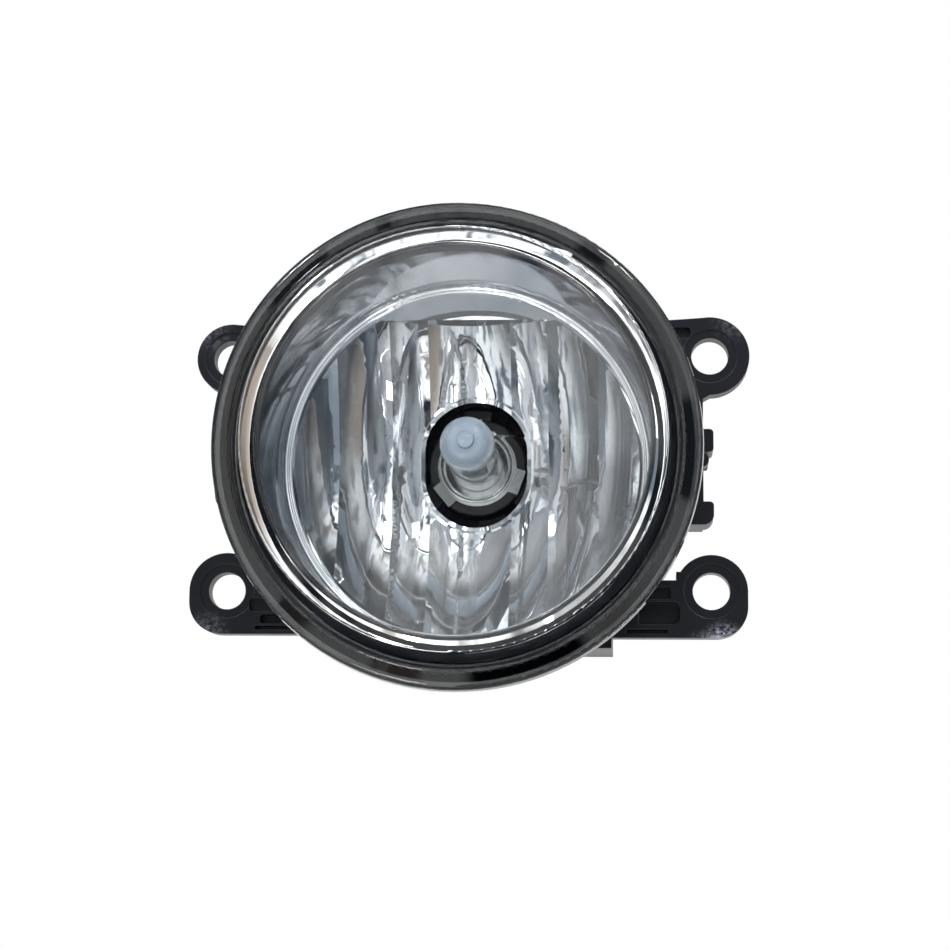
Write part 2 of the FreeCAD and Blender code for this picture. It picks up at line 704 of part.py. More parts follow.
def make_adjuster_screw():
    """Turned profile: thread, shank through the tower's plate, collar and gripped knob."""
    end_y = KNOB_Y + KNOB_LENGTH
    thread_end = TOWER_PLATE_Y - THREAD_RELIEF
    root = THREAD_R - THREAD_DEPTH
    points = [(0, THREAD_FRONT), (root - THREAD_DEPTH, THREAD_FRONT)]
    turns = int((thread_end - THREAD_FRONT - THREAD_POINT) / THREAD_PITCH)
    for turn in range(turns):
        y = THREAD_FRONT + THREAD_POINT + turn * THREAD_PITCH
        points += [(root, y), (THREAD_R, y + THREAD_PITCH * 0.4), (THREAD_R, y + THREAD_PITCH * 0.6)]
    points += [
        (root, thread_end),
        (THREAD_R, thread_end + THREAD_DEPTH),
        (THREAD_R, KNOB_Y),
        (KNOB_R, KNOB_Y, 0.4),
        (KNOB_R, end_y, 1.0),
        (0, end_y),
    ]
    centre = Vector(ADJUST_X, 0, ADJUST_Z)
    screw = turned(points, centre=centre)
    for i in range(KNOB_GRIPS):
        angle = 2 * math.pi * i / KNOB_GRIPS
        x = ADJUST_X + KNOB_R * math.cos(angle)
        z = ADJUST_Z + KNOB_R * math.sin(angle)
        screw = screw.cut(rod_y(x, z, KNOB_Y + KNOB_GRIP_INSET, end_y + 1, KNOB_GRIP_R))
    return cross_cut(screw, ADJUST_X, ADJUST_Z, end_y - KNOB_SLOT_DEPTH, end_y + 1,
                     KNOB_SLOT_LENGTH, KNOB_SLOT_WIDTH)


def make_adjuster_clip():
    """Push-on washer with four bent teeth, in front of the tower's plate."""
    back_y = TOWER_PLATE_Y - MOVING_GAP
    clip = rod_y(ADJUST_X, ADJUST_Z, back_y - CLIP_THICKNESS, back_y, CLIP_R)
    clip = clip.cut(rod_y(ADJUST_X, ADJUST_Z, back_y - 2, back_y + 1, THREAD_R + SEAT_GAP))
    return cross_cut(clip, ADJUST_X, ADJUST_Z, back_y - 2, back_y + 1, CLIP_SLIT_LENGTH, CLIP_SLIT_WIDTH)


def make_adjuster_nut():
    """Ball-shaped nut: a sphere cut flat at both ends, bored for the screw."""
    centre = Vector(ADJUST_X, ADJUST_Y, ADJUST_Z)
    ball = Part.makeSphere(NUT_R, centre)
    half = NUT_LENGTH / 2
    ball = ball.common(rod_y(ADJUST_X, ADJUST_Z, ADJUST_Y - half, ADJUST_Y + half, NUT_R + 1))
    return ball.cut(rod_y(ADJUST_X, ADJUST_Z, ADJUST_Y - NUT_R, ADJUST_Y + NUT_R, THREAD_R + RUNNING_GAP))


# ---------------------------------------------------------------- lens and its bond

def make_lens():
    inner_ridge_r = RIDGE_R - RIDGE_GLASS
    inner_ridge_y = RIDGE_Y + GLASS
    points = [
        (0, RIDGE_Y - DOME_HEIGHT),
        (RIDGE_R, RIDGE_Y, RIDGE_ROUND),
        (FLANGE_INNER_R, LENS_EDGE_Y - FLANGE_SLOPE, FLANGE_ROUND),
        (LENS_R - EDGE_TAPER, LENS_EDGE_Y, EDGE_ROUND),
        (LENS_R, FLANGE_BACK_Y, 0.3),
        (TONGUE_OUTER_R, FLANGE_BACK_Y),
        (TONGUE_OUTER_R, TONGUE_END_Y),
        (TONGUE_INNER_R, TONGUE_END_Y),
        (TONGUE_INNER_R, FLANGE_BACK_Y),
        (FLANGE_INNER_R - WALL_GLASS, FLANGE_BACK_Y, 0.4),
        (inner_ridge_r, inner_ridge_y, CORNER_ROUND),
        (0, inner_ridge_y - DOME_HEIGHT),
    ]
    front_bulge = ("pole", RIDGE_R / 2, RIDGE_Y - DOME_HEIGHT)
    back_bulge = ("pole", inner_ridge_r / 2, inner_ridge_y - DOME_HEIGHT)
    return turned(points, {0: front_bulge, 10: back_bulge})


def ring_space(inner, outer, y0, y1):
    return turned([(inner, y0), (outer, y0), (outer, y1), (inner, y1)])


def make_lens_adhesive():
    """Bead that fills the body's channel round the lens tongue."""
    bead = ring_space(CHANNEL_INNER_R, CHANNEL_OUTER_R, BODY_FRONT_Y, CHANNEL_END_Y)
    return bead.cut(ring_space(TONGUE_INNER_R, TONGUE_OUTER_R, BODY_FRONT_Y - 1, TONGUE_END_Y))


# ---------------------------------------------------------------- reflector

def strip_depth(x):
    return x ** 2 / (4 * FOCAL_LENGTH)


def strip_space(x0, x1):
    """Space in front of one fluted strip: parabola up and down, deeper flute across."""
    middle = (x0 + x1) / 2
    half = (x1 - x0) / 2
    chord = (strip_depth(x0) + strip_depth(x1)) / 2
    sagitta = FLUTE_CURVE * half ** 2
    across = ((x0, strip_depth(x0)), (middle, chord - 2 * sagitta), (x1, strip_depth(x1)))
    height = LIP_OUTER_R + 2
    rise = height ** 2 / (4 * FOCAL_LENGTH)
    along = ((-height, rise), (0, -rise), (height, rise))
    surface = Part.BezierSurface()
    surface.increase(2, 2)
    for i, (x, dx) in enumerate(across, 1):
        for j, (z, dz) in enumerate(along, 1):
            surface.setPole(i, j, Vector(x, VERTEX_Y - dx - dz, z + AXIS_Z))
    return Part.Face(surface).extrude(Vector(0, -FAR, 0))


def bowl_space():
    """Everything in front of the seven strips, inside the rim and under the flat ceiling."""
    edges = sorted([-x for x in STRIP_EDGES] + list(STRIP_EDGES))
    spaces = [strip_space(x0, x1) for x0, x1 in zip(edges, edges[1:])]
    inside = rod_y(0, AXIS_Z, LIP_Y - 1, VERTEX_Y + 5, LIP_INNER_R)
    inside = inside.common(block(-FAR, FAR, -FAR, FAR, -FAR, CEILING_Z))
    return [space.common(inside) for space in spaces]


def screw_places():
    angles = [SCREW_FIRST_ANGLE + 360.0 / SCREW_COUNT * i for i in range(SCREW_COUNT)]
    return [polar(SCREW_CIRCLE_R, angle) for angle in angles]


def lug_angles():
    return [LUG_FIRST_ANGLE + 360.0 / LUG_COUNT * i for i in range(LUG_COUNT)]


def neck_root(radius):
    """Radius at which a bowl's outline ends inside its neck, which stands on the bulb's axis."""
    return radius - BULB_OFFSET - NECK_MARGIN


def neck_start(radius, vertex):
    """Depth at which a neck of the given radius is inside the bowl's surface all round."""
    return bowl_y(radius + BULB_OFFSET, vertex) - NECK_ROOT


def hole_prism(grow, y0, y1):
    """The bulb hole's outline, two half circles and straight sides, grown and drawn along Y."""
    r = BULB_HOLE_X + grow
    rise = BULB_HOLE_Z - BULB_HOLE_X
    middle = block(-r, r, y0, y1, AXIS_Z - rise, AXIS_Z + rise)
    ends = [rod_y(0, AXIS_Z + side * rise, y0, y1, r) for side in (-1, 1)]
    return on_bulb_axis(join([middle] + ends))


def bulb_seat():
    """Hole in the bowl, the bayonet's cavity behind it and the notches in the lugs' ledge."""
    cavity_y = BARREL_Y + BULB_HOLE_BACK
    cuts = [
        rod_y(0, AXIS_Z, cavity_y, REFERENCE_Y + SEAT_GAP, CAVITY_R),
        rod_y(0, AXIS_Z, cavity_y, LEDGE_END_Y + 1, BARREL_R + MOVING_GAP),
    ]
    for angle in lug_angles():
        cuts.append(sector(0, LUG_R + NOTCH_PLAY, REFERENCE_Y - 1, LEDGE_END_Y + 1,
                           angle - TWIST_DEG, LUG_ANGLE + NOTCH_PLAY_DEG))
    return [hole_prism(0, VERTEX_Y - 8, cavity_y + 0.5)] + [on_bulb_axis(cut) for cut in cuts]


def bulb_stops():
    """Stops that end the bulb's turn, one beside each lug's notch."""
    stops = []
    for angle in lug_angles():
        middle = angle + (LUG_ANGLE + STOP_DEG) / 2 + STOP_GAP_DEG
        stops.append(sector(BARREL_R + STOP_RELIEF, CAVITY_R + SEAT_GAP, REFERENCE_Y - LUG_THICKNESS,
                            REFERENCE_Y + LEDGE / 4, middle, STOP_DEG))
    return [on_bulb_axis(stop) for stop in stops]


def make_reflector():
    back_r = bowl_r(LIP_Y + REFLECTOR_BACK, REFLECTOR_VERTEX)
    root_r = neck_root(REFLECTOR_NECK_R)
    root_y = bowl_y(root_r, REFLECTOR_VERTEX)
    outer = turned(
        [
            (0, REFLECTOR_FRONT_Y),
            (REFLECTOR_OUTER_R, REFLECTOR_FRONT_Y),
            (LIP_OUTER_R + REFLECTOR_WALL, LIP_Y + 1, 1.0),
            (back_r, LIP_Y + REFLECTOR_BACK),
            (root_r, root_y),
            (0, root_y),
        ],
        {3: bowl_pole(back_r, root_r, REFLECTOR_VERTEX)},
    )
    neck_y = neck_start(REFLECTOR_NECK_R, REFLECTOR_VERTEX)
    neck = on_bulb_axis(rod_y(0, AXIS_Z, neck_y, LEDGE_END_Y, REFLECTOR_NECK_R))
    bosses = [rod_y(x, z, VERTEX_Y - 6, SCREW_SEAT_Y, SCREW_HEAD_R) for x, z in screw_places()]
    body = join([outer, neck] + bosses)
    front_wall = turned(
        [
            (0, REFLECTOR_FRONT_Y - 1),
            (REFLECTOR_FRONT_R, REFLECTOR_FRONT_Y - 1),
            (REFLECTOR_FRONT_R, REFLECTOR_FRONT_Y),
            (LIP_OUTER_R, LIP_Y, 0.5),
            (0, LIP_Y),
        ]
    )
    body = body.cut(front_wall)
    rim = hole_prism(HOLE_RIM_WIDTH, LIP_Y - 1, VERTEX_Y + 5)
    for space in bowl_space():
        body = body.cut(space.cut(rim))
        body = body.cut(space.translated(Vector(0, -HOLE_RIM_HEIGHT, 0)).common(rim))
    bead_r = (LIP_OUTER_R + LIP_INNER_R) / 2
    bead = Part.makeTorus(bead_r, LIP_BEAD_R, Vector(0, LIP_Y, AXIS_Z), ALONG_Y)
    body = body.fuse(bead)
    for cut in bulb_seat():
        body = body.cut(cut)
    for stop in bulb_stops():
        body = body.fuse(stop)
    pilot_y = SCREW_HEAD_Y - SCREW_LENGTH - SEAT_GAP
    for x, z in screw_places():
        body = body.cut(rod_y(x, z, pilot_y, SCREW_SEAT_Y + 1, SCREW_R + SCREW_PILOT_PLAY))
    return body.removeSplitter()


def make_reflector_screws():
    """Pan-head self-tapping screws through the lamp body into the reflector's bosses."""
    screws = []
    for x, z in screw_places():
        head = turned(
            [
                (0, SCREW_HEAD_Y),
                (SCREW_HEAD_R, SCREW_HEAD_Y),
                (SCREW_HEAD_R, SCREW_HEAD_Y + SCREW_HEAD_HEIGHT, 0.9),
                (0, SCREW_HEAD_Y + SCREW_HEAD_HEIGHT),
            ],
            centre=Vector(x, 0, z),
        )
        shank = rod_y(x, z, SCREW_HEAD_Y - SCREW_LENGTH, SCREW_HEAD_Y + 0.5, SCREW_R)
        top = SCREW_HEAD_Y + SCREW_HEAD_HEIGHT
        screw = cross_cut(head.fuse(shank), x, z, top - RECESS_DEPTH, top + 1, RECESS_LENGTH, RECESS_WIDTH)
        screws.append(screw)
    return Part.makeCompound(screws)


# ---------------------------------------------------------------- lamp body

def pivot_arm(side, pin_end):
    """Boss from the bowl out to the carrier, with the pivot pin at its end."""
    boss_end = RING_INNER_R - SEAT_GAP - BUSH_FLANGE - MOVING_GAP
    x0, x1 = sorted((side * PIVOT_ARM_START, side * boss_end))
    p0, p1 = sorted((side * (boss_end - 1), side * pin_end))
    boss = rod_x(x0, x1, PIVOT_Y, PIVOT_Z, PIVOT_ARM_R)
    pin = rod_x(p0, p1, PIVOT_Y, PIVOT_Z, PIN_R)
    web_half = PIVOT_ARM_R + PIVOT_WEB_RISE
    web = block(x0, x1, PIVOT_Y - PIVOT_WEB / 2, PIVOT_Y + PIVOT_WEB / 2,
                PIVOT_Z - web_half, PIVOT_Z + web_half)
    trim = Part.makeCone(2 * web_half - PIVOT_ARM_R + 1, PIVOT_ARM_R - 1, x1 - x0,
                         Vector(side * PIVOT_ARM_START, PIVOT_Y, PIVOT_Z), Vector(side, 0, 0))
    return [boss, pin, web.common(trim)]


def nut_eye():
    """Slotted eye that holds the ball nut, on an arm from the bowl."""
    slack = (ADJUST_Y - PIVOT_Y) * math.sin(math.radians(AIM_RANGE_DEG))
    seat_r = NUT_R + MOVING_GAP
    outer_r = seat_r + EYE_WALL
    y0, y1 = ADJUST_Y - EYE_LENGTH / 2, ADJUST_Y + EYE_LENGTH / 2
    eye = join(
        [
            rod_y(ADJUST_X, ADJUST_Z + slack, y0, y1, outer_r),
            rod_y(ADJUST_X, ADJUST_Z - slack, y0, y1, outer_r),
            block(ADJUST_X - outer_r, ADJUST_X + outer_r, y0, y1, ADJUST_Z - slack, ADJUST_Z + slack),
        ]
    )
    seat = join(
        [
            Part.makeSphere(seat_r, Vector(ADJUST_X, ADJUST_Y, ADJUST_Z + slack)),
            Part.makeSphere(seat_r, Vector(ADJUST_X, ADJUST_Y, ADJUST_Z - slack)),
            Part.makeCylinder(seat_r, 2 * slack, Vector(ADJUST_X, ADJUST_Y, ADJUST_Z - slack)),
        ]
    )
    top = ADJUST_Z + slack + outer_r
    arm = block(ADJUST_X - EYE_ARM_WIDTH / 2, ADJUST_X + EYE_ARM_WIDTH / 2, EYE_ARM_FRONT_Y, y1,
                top - 1, top + EYE_ARM_RISE)
    rib = block(ADJUST_X - outer_r, ADJUST_X + outer_r, EYE_RIB_FRONT_Y, y1,
                top - EYE_RIB / 3, top + 2 * EYE_RIB / 3)
    return eye, seat, [arm, rib]


def make_housing():
    rim_back = BODY_FRONT_Y + BODY_RIM_DEPTH
    body_outer_r = BODY_INNER_R + BODY_WALL
    root_r = neck_root(NECK_R)
    root_y = bowl_y(root_r, BODY_OUTER_VERTEX)
    shoulder_y = bowl_y(body_outer_r, BODY_OUTER_VERTEX)
    outer = turned(
        [
            (0, BODY_FRONT_Y),
            (LENS_R - BODY_SETBACK, BODY_FRONT_Y, 0.3),
            (LENS_R - BODY_SETBACK, rim_back, 0.6),
            (body_outer_r, rim_back + BODY_RIM_SLOPE),
            (body_outer_r, shoulder_y),
            (root_r, root_y),
            (0, root_y),
        ],
        {4: bowl_pole(body_outer_r, root_r, BODY_OUTER_VERTEX)},
    )
    neck_y = neck_start(NECK_R, BODY_OUTER_VERTEX)
    neck = turned([(0, neck_y), (NECK_R, neck_y), (NECK_R, NECK_END_Y, NECK_ROUND), (0, NECK_END_Y)])
    eye, seat, arms = nut_eye()
    solids = [outer, on_bulb_axis(neck), eye] + arms
    solids += pivot_arm(-1, PIN_LEFT_END) + pivot_arm(1, PIN_RIGHT_END)
    for x, z in screw_places():
        solids.append(rod_y(x, z, 2, SCREW_HEAD_Y, SCREW_HEAD_R + SCREW_BOSS_WALL))
    solids.append(rod_y(VENT_X, VENT_Z, 2, VENT_END_Y, VENT_TUBE_R))
    body = join(solids).cut(seat)
    inner_shoulder = bowl_y(BODY_INNER_R, BODY_INNER_VERTEX)
    inner_neck_r = REFLECTOR_NECK_R + REFLECTOR_GAP
    inner_root_r = neck_root(inner_neck_r)
    inner_root_y = bowl_y(inner_root_r, BODY_INNER_VERTEX)
    inner_neck_y = neck_start(inner_neck_r, BODY_INNER_VERTEX)
    space = turned(
        [
            (0, BODY_FRONT_Y - 1),
            (BODY_INNER_R, BODY_FRONT_Y - 1),
            (BODY_INNER_R, inner_shoulder),
            (inner_root_r, inner_root_y),
            (0, inner_root_y),
        ],
        {2: bowl_pole(BODY_INNER_R, inner_root_r, BODY_INNER_VERTEX)},
    )
    body = body.cut(space)
    body = body.cut(on_bulb_axis(rod_y(0, AXIS_Z, inner_neck_y, LEDGE_END_Y + SEAT_GAP, inner_neck_r)))
    body = body.cut(on_bulb_axis(rod_y(0, AXIS_Z, inner_neck_y, NECK_END_Y + 1, NECK_BORE_R)))
    body = body.cut(ring_space(CHANNEL_INNER_R, CHANNEL_OUTER_R, BODY_FRONT_Y - 1, CHANNEL_END_Y))
    for x, z in screw_places():
        body = body.cut(rod_y(x, z, 0, SCREW_SEAT_Y, SCREW_HEAD_R + REFLECTOR_GAP))
        body = body.cut(rod_y(x, z, 0, SCREW_HEAD_Y + 1, SCREW_R + REFLECTOR_GAP))
    body = body.cut(rod_y(VENT_X, VENT_Z, 0, VENT_END_Y + 1, VENT_BORE_R))
    return body.removeSplitter()


def make_vent_cap():
    """Soft rubber cap pushed over the breather tube, with a rolled rim."""
    start = VENT_END_Y - VENT_CAP_LENGTH + VENT_CAP_END
    end = start + VENT_CAP_LENGTH
    bore = VENT_TUBE_R + SEAT_GAP
    points = [
        (bore, start),
        (VENT_CAP_R, start, 0.7),
        (VENT_CAP_R, start + VENT_CAP_LIP, 0.5),
        (bore + VENT_CAP_WALL, start + VENT_CAP_LIP + 0.8),
        (bore + VENT_CAP_WALL, end, 1.0),
        (0, end),
        (0, VENT_END_Y + SEAT_GAP),
        (bore, VENT_END_Y + SEAT_GAP),
    ]
    return turned(points, centre=Vector(VENT_X, 0, VENT_Z))


def make_vent_filter():
    y1 = VENT_END_Y - 1
    return rod_y(VENT_X, VENT_Z, y1 - VENT_FILTER_LENGTH, y1, VENT_BORE_R - SEAT_GAP)


# ---------------------------------------------------------------- bulb

def capsule_outside(grow, end_y):
    """The capsule's outside from its pip to end_y, grown by a coat's thickness."""
    r = CAPSULE_R + grow
    pip_r = PIP_R + grow
    points = [
        (0, TIP_Y + PIP_DIMPLE - grow),
        (PIP_DIMPLE_R, TIP_Y - grow),
        (pip_r, TIP_Y - grow, PIP_ROUND),
        (pip_r, PIP_FOOT_Y - grow),
        (r, DOME_Y),
        (r, end_y),
        (0, end_y),
    ]
    dome = ("pole", r, PIP_FOOT_Y - grow)
    return turned(points, {3: dome})


def capsule_inside():
    r = CAPSULE_R - CAPSULE_WALL
    foot_y = PINCH_START_Y - CAPSULE_WALL
    tip_y = PIP_FOOT_Y + CAPSULE_WALL
    points = [(0, tip_y), (r, DOME_Y), (r, foot_y - 1.5), (0, foot_y)]
    dome = ("pole", r, tip_y)
    foot = ("pole", r, foot_y)
    return turned(points, {0: dome, 2: foot})


def lead_paths():
    """Inner support wires: one to each end of the filament."""
    start = PINCH_START_Y
    front = FILAMENT_Y - FILAMENT_LENGTH / 2 - 0.6
    back = FILAMENT_Y + FILAMENT_LENGTH / 2 + 0.6
    z = AXIS_Z
    short = [
        Vector(-LEAD_SPREAD, start + FOIL_INSET, z),
        Vector(-LEAD_SPREAD, back + 1.2, z),
        Vector(0, back, z),
    ]
    long = [
        Vector(LEAD_SPREAD, start + FOIL_INSET, z),
        Vector(LEAD_SPREAD, start - 2, z),
        Vector(LEAD_REACH, start - 4, z),
        Vector(LEAD_REACH, front - 1, z),
        Vector(0, front, z),
    ]
    return [short, long]


def outer_lead_paths():
    """Wires from the foils out of the capsule's pinch to the terminals."""
    start = PINCH_END_Y - FOIL_INSET
    return [
        [Vector(side * LEAD_SPREAD, start, AXIS_Z), Vector(side * LEAD_SPREAD, LEAD_END_Y, AXIS_Z)]
        for side in (-1, 1)
    ]


def make_bulb_leads():
    return Part.makeCompound([wire_rod(path, LEAD_R) for path in lead_paths() + outer_lead_paths()])


def make_bulb_foils():
    y0, y1 = PINCH_START_Y + FOIL_INSET, PINCH_END_Y - FOIL_INSET
    foils = []
    half = FOIL_WIDTH / 2
    rise = FOIL_THICKNESS / 2
    for side in (-1, 1):
        x = side * LEAD_SPREAD
        foils.append(block(x - half, x + half, y0, y1, AXIS_Z - rise, AXIS_Z + rise))
    return Part.makeCompound(foils)


def make_bulb_filament():
    """Coiled tungsten wire along the bulb's axis; the wire is six-sided to keep it light."""
    helix = Part.makeHelix(FILAMENT_PITCH, FILAMENT_LENGTH, FILAMENT_R)
    corners = []
    for i in range(7):
        angle = math.radians(60 * i)
        x = FILAMENT_R + FILAMENT_WIRE_R * math.cos(angle)
        corners.append(Vector(x, 0, FILAMENT_WIRE_R * math.sin(angle)))
    coil = Part.Wire(helix).makePipeShell([Part.makePolygon(corners)], True, True)
    coil.rotate(Vector(0, 0, 0), ALONG_X, -90)
    coil.translate(Vector(0, FILAMENT_Y - FILAMENT_LENGTH / 2, AXIS_Z))
    return coil


def make_bulb_capsule(foils):
    start, end = PINCH_START_Y, PINCH_END_Y
    outside = capsule_outside(0, start + 1)
    pinch = block(-PINCH_WIDTH / 2, PINCH_WIDTH / 2, start, end,
                  AXIS_Z - PINCH_THICKNESS / 2, AXIS_Z + PINCH_THICKNESS / 2)
    glass = outside.fuse(pinch).cut(capsule_inside())
    for side in (-1, 1):
        x = side * LEAD_SPREAD
        glass = glass.cut(rod_y(x, AXIS_Z, start - 2 * CAPSULE_WALL, start + FOIL_INSET, LEAD_R + SEAT_GAP))
        glass = glass.cut(rod_y(x, AXIS_Z, end - FOIL_INSET, end + 1, LEAD_R + SEAT_GAP))
    return glass.cut(foils)


def make_bulb_tip_cap():
    """Opaque coat over the dome and the start of the capsule's straight wall."""
    end_y = TIP_Y + TIP_COAT_LENGTH
    return capsule_outside(TIP_COAT, end_y).cut(capsule_outside(0, end_y + 1))


def pinch_room(y0, y1):
    """Slot that the capsule's pinch stands in."""
    half_x = PINCH_WIDTH / 2 + PINCH_PLAY
    half_z = PINCH_THICKNESS / 2 + PINCH_PLAY
    return block(-half_x, half_x, y0, y1, AXIS_Z - half_z, AXIS_Z + half_z)


def make_bulb_collar():
    """Thin steel cup with a round lip; the foot of the capsule stands in the hole of its floor."""
    end_y = BARREL_Y - PLATE_THICKNESS
    inner = COLLAR_R - COLLAR_WALL
    hole = CAPSULE_R + COLLAR_PLAY
    return turned(
        [
            (inner, COLLAR_Y, 0.15),
            (COLLAR_R, COLLAR_Y, 0.2),
            (COLLAR_R, end_y),
            (hole, end_y),
            (hole, end_y - COLLAR_WALL),
            (inner, end_y - COLLAR_WALL, 0.8),
        ]
    )


def make_bulb_plate():
    """Flat steel plate on the barrel's face, with three tabs welded down round the collar."""
    y0, y1 = BARREL_Y - PLATE_THICKNESS, BARREL_Y
    ring = rod_y(0, AXIS_Z, y0, y1, PLATE_RING_R)
    tabs = []
    for i in range(LUG_COUNT):
        angle = PLATE_TAB_ANGLE + 360.0 / LUG_COUNT * i
        half = PLATE_TAB_WIDTH / 2
        tab = block(0, PLATE_TAB_R, y0, y1, AXIS_Z - half, AXIS_Z + half)
        tab.rotate(AXIS_BASE, ALONG_Y, -angle)
        tabs.append(tab)
    return join([ring] + tabs).cut(pinch_room(y0 - 1, y1 + 1))


def make_bulb_terminals():
    """Two L-shaped strips: a tail on the lead and a blade pointing down in the socket."""
    strips = []
    half_t = TERMINAL_THICKNESS / 2
    half_w = TERMINAL_WIDTH / 2
    for side in (-1, 1):
        x = side * TERMINAL_SPACING / 2
        blade = block(x - half_w, x + half_w, BLADE_Y - half_t, BLADE_Y + half_t,
                      SOCKET_MOUTH_Z + BLADE_INSET, AXIS_Z + half_w)
        x0, x1 = sorted((side * (LEAD_SPREAD - 2 * LEAD_R), x))
        tail = block(x0, x1, LEAD_END_Y, BLADE_Y, AXIS_Z - TERMINAL_THICKNESS, AXIS_Z + TERMINAL_THICKNESS)
        strips.append(blade.fuse(tail).removeSplitter())
    return Part.makeCompound(strips)


def make_bulb_base(terminals, leads):
    """Barrel with bayonet lugs and seal groove, flange, and the head with its plug socket."""
    seat_y = LEDGE_END_Y + MOVING_GAP
    groove_r = SEAL_RING_R - SEAL_CORD_R - SEAT_GAP
    groove_y0 = SEAL_Y - SEAL_CORD_R - SEAT_GAP
    groove_y1 = SEAL_Y + SEAL_CORD_R + SEAT_GAP
    barrel = turned(
        [
            (0, BARREL_Y),
            (BARREL_R, BARREL_Y, 0.5),
            (BARREL_R, seat_y),
            (SEAL_SEAT_R, seat_y + 0.3),
            (SEAL_SEAT_R, groove_y0),
            (groove_r, groove_y0),
            (groove_r, groove_y1),
            (SEAL_SEAT_R, groove_y1),
            (SEAL_SEAT_R, FLANGE_Y),
            (CAP_FLANGE_R, FLANGE_Y, 0.4),
            (CAP_FLANGE_R, CAP_Y, 0.6),
            (0, CAP_Y),
        ]
    )
    lugs = [
        sector(BARREL_R - 1, LUG_R, REFERENCE_Y - LUG_THICKNESS, REFERENCE_Y, angle, LUG_ANGLE)
        for angle in lug_angles()
    ]
    y0, y1 = CAP_Y - 0.5, CAP_Y + CAP_DEPTH
    w = CAP_HALF_WIDTH
    ramp_z = SOCKET_MOUTH_Z + RAMP_START
    head = plate([(-w, 0), (w, 0), (w, CAP_TOP_Z, SOCKET_ROUND), (-w, CAP_TOP_Z, SOCKET_ROUND)], y0, y1)
    shroud = block(-w, w, y0, y1, SOCKET_MOUTH_Z, 1)
    ramp = block(-RAMP_HALF_WIDTH, RAMP_HALF_WIDTH, y1 - 0.5, y1 + RAMP_RISE, ramp_z, ramp_z + RAMP_LENGTH)
    grip_half = w + GRIP_THICKNESS - 0.2
    grips = block(-grip_half, grip_half, y0, y1 - GRIP_SETBACK, GRIP_BOTTOM_Z, GRIP_TOP_Z)
    base = join([barrel] + lugs + [head, shroud, ramp, grips])
    cavity = block(-w + SOCKET_WALL, w - SOCKET_WALL, CAP_Y + SOCKET_WALL, y1 - SOCKET_WALL,
                   SOCKET_MOUTH_Z - 1, SOCKET_MOUTH_Z + SOCKET_DEPTH)
    base = base.cut(cavity).cut(pinch_room(BARREL_Y - 1, PINCH_END_Y + PINCH_PLAY))
    return base.cut(terminals).cut(leads).removeSplitter()


def make_bulb_seal():
    return Part.makeTorus(SEAL_RING_R, SEAL_CORD_R, Vector(0, SEAL_Y, AXIS_Z), ALONG_Y)


# ---------------------------------------------------------------- build

def main():
    os.makedirs("parts", exist_ok=True)
    leads = make_bulb_leads()
    foils = make_bulb_foils()
    terminals = make_bulb_terminals()
    bulb = {
        "bulb_capsule": make_bulb_capsule(foils),
        "bulb_tip_cap": make_bulb_tip_cap(),
        "bulb_filament": make_bulb_filament(),
        "bulb_leads": leads,
        "bulb_foils": foils,
        "bulb_collar": make_bulb_collar(),
        "bulb_plate": make_bulb_plate(),
        "bulb_base": make_bulb_base(terminals, leads),
        "bulb_seal": make_bulb_seal(),
        "bulb_terminals": terminals,
    }
    nodes = {
        "bracket": make_bracket(),
        "pivot_bush_left": make_bush(-1, PIN_LEFT_END - BUSH_INSET_LEFT),
        "pivot_bush_right": make_bush(1, SIDE_X - BUSH_INSET_RIGHT),
        "adjuster_screw": make_adjuster_screw(),
        "adjuster_clip": make_adjuster_clip(),
        "adjuster_nut": make_adjuster_nut(),
        "lens": make_lens(),
        "lens_adhesive": make_lens_adhesive(),
        "reflector": make_reflector(),
        "reflector_screws": make_reflector_screws(),
        "housing": make_housing(),
        "vent_cap": make_vent_cap(),
        "vent_filter": make_vent_filter(),
    }
    for name, shape in nodes.items():
        save(shape, name)
    for name, shape in bulb.items():
        save(on_bulb_axis(shape), name)


main()
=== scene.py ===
import math

import bmesh
import bpy
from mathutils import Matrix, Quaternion, Vector


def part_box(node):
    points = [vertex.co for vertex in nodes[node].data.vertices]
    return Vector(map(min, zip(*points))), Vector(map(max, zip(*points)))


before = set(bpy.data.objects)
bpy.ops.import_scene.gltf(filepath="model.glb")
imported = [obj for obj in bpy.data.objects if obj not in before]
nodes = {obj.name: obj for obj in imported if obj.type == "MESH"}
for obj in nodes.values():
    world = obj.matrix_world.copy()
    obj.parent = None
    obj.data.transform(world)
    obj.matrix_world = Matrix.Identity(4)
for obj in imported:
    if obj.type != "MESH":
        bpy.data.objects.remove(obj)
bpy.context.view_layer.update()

MM = 0.001

# ------------------------------------------------------------------ the carrier
# A ring with four screw ears, moulded in one piece in black glass-filled nylon. The mould leaves
# a fine matt grain, the edges rub to grey, and the washers of its screws have scuffed the ears.

CARRIER_BLACK = (0.006, 0.0075, 0.011)
CARRIER_RUBBED = (0.11, 0.12, 0.14)
CLOUD_SIZE = 9 * MM             # patches of lighter and darker plastic
DARK_CLOUD, LIGHT_CLOUD = 0.8, 1.25
EDGE_SAMPLES = 4
FACE, EDGE = 0.985, 0.80        # how well the rounded normal fits the true one on each
FIRST, SECOND, BLEND = 6, 7, 2  # a colour Mix node's two colours in and its colour out

SCUFF_GREY = (0.55, 0.57, 0.66)
SCUFF_REACH = 5.5 * MM
SCRATCH_SIZE = 0.9 * MM
SCRATCH_FAINT, SCRATCH_FULL = 0.44, 0.62


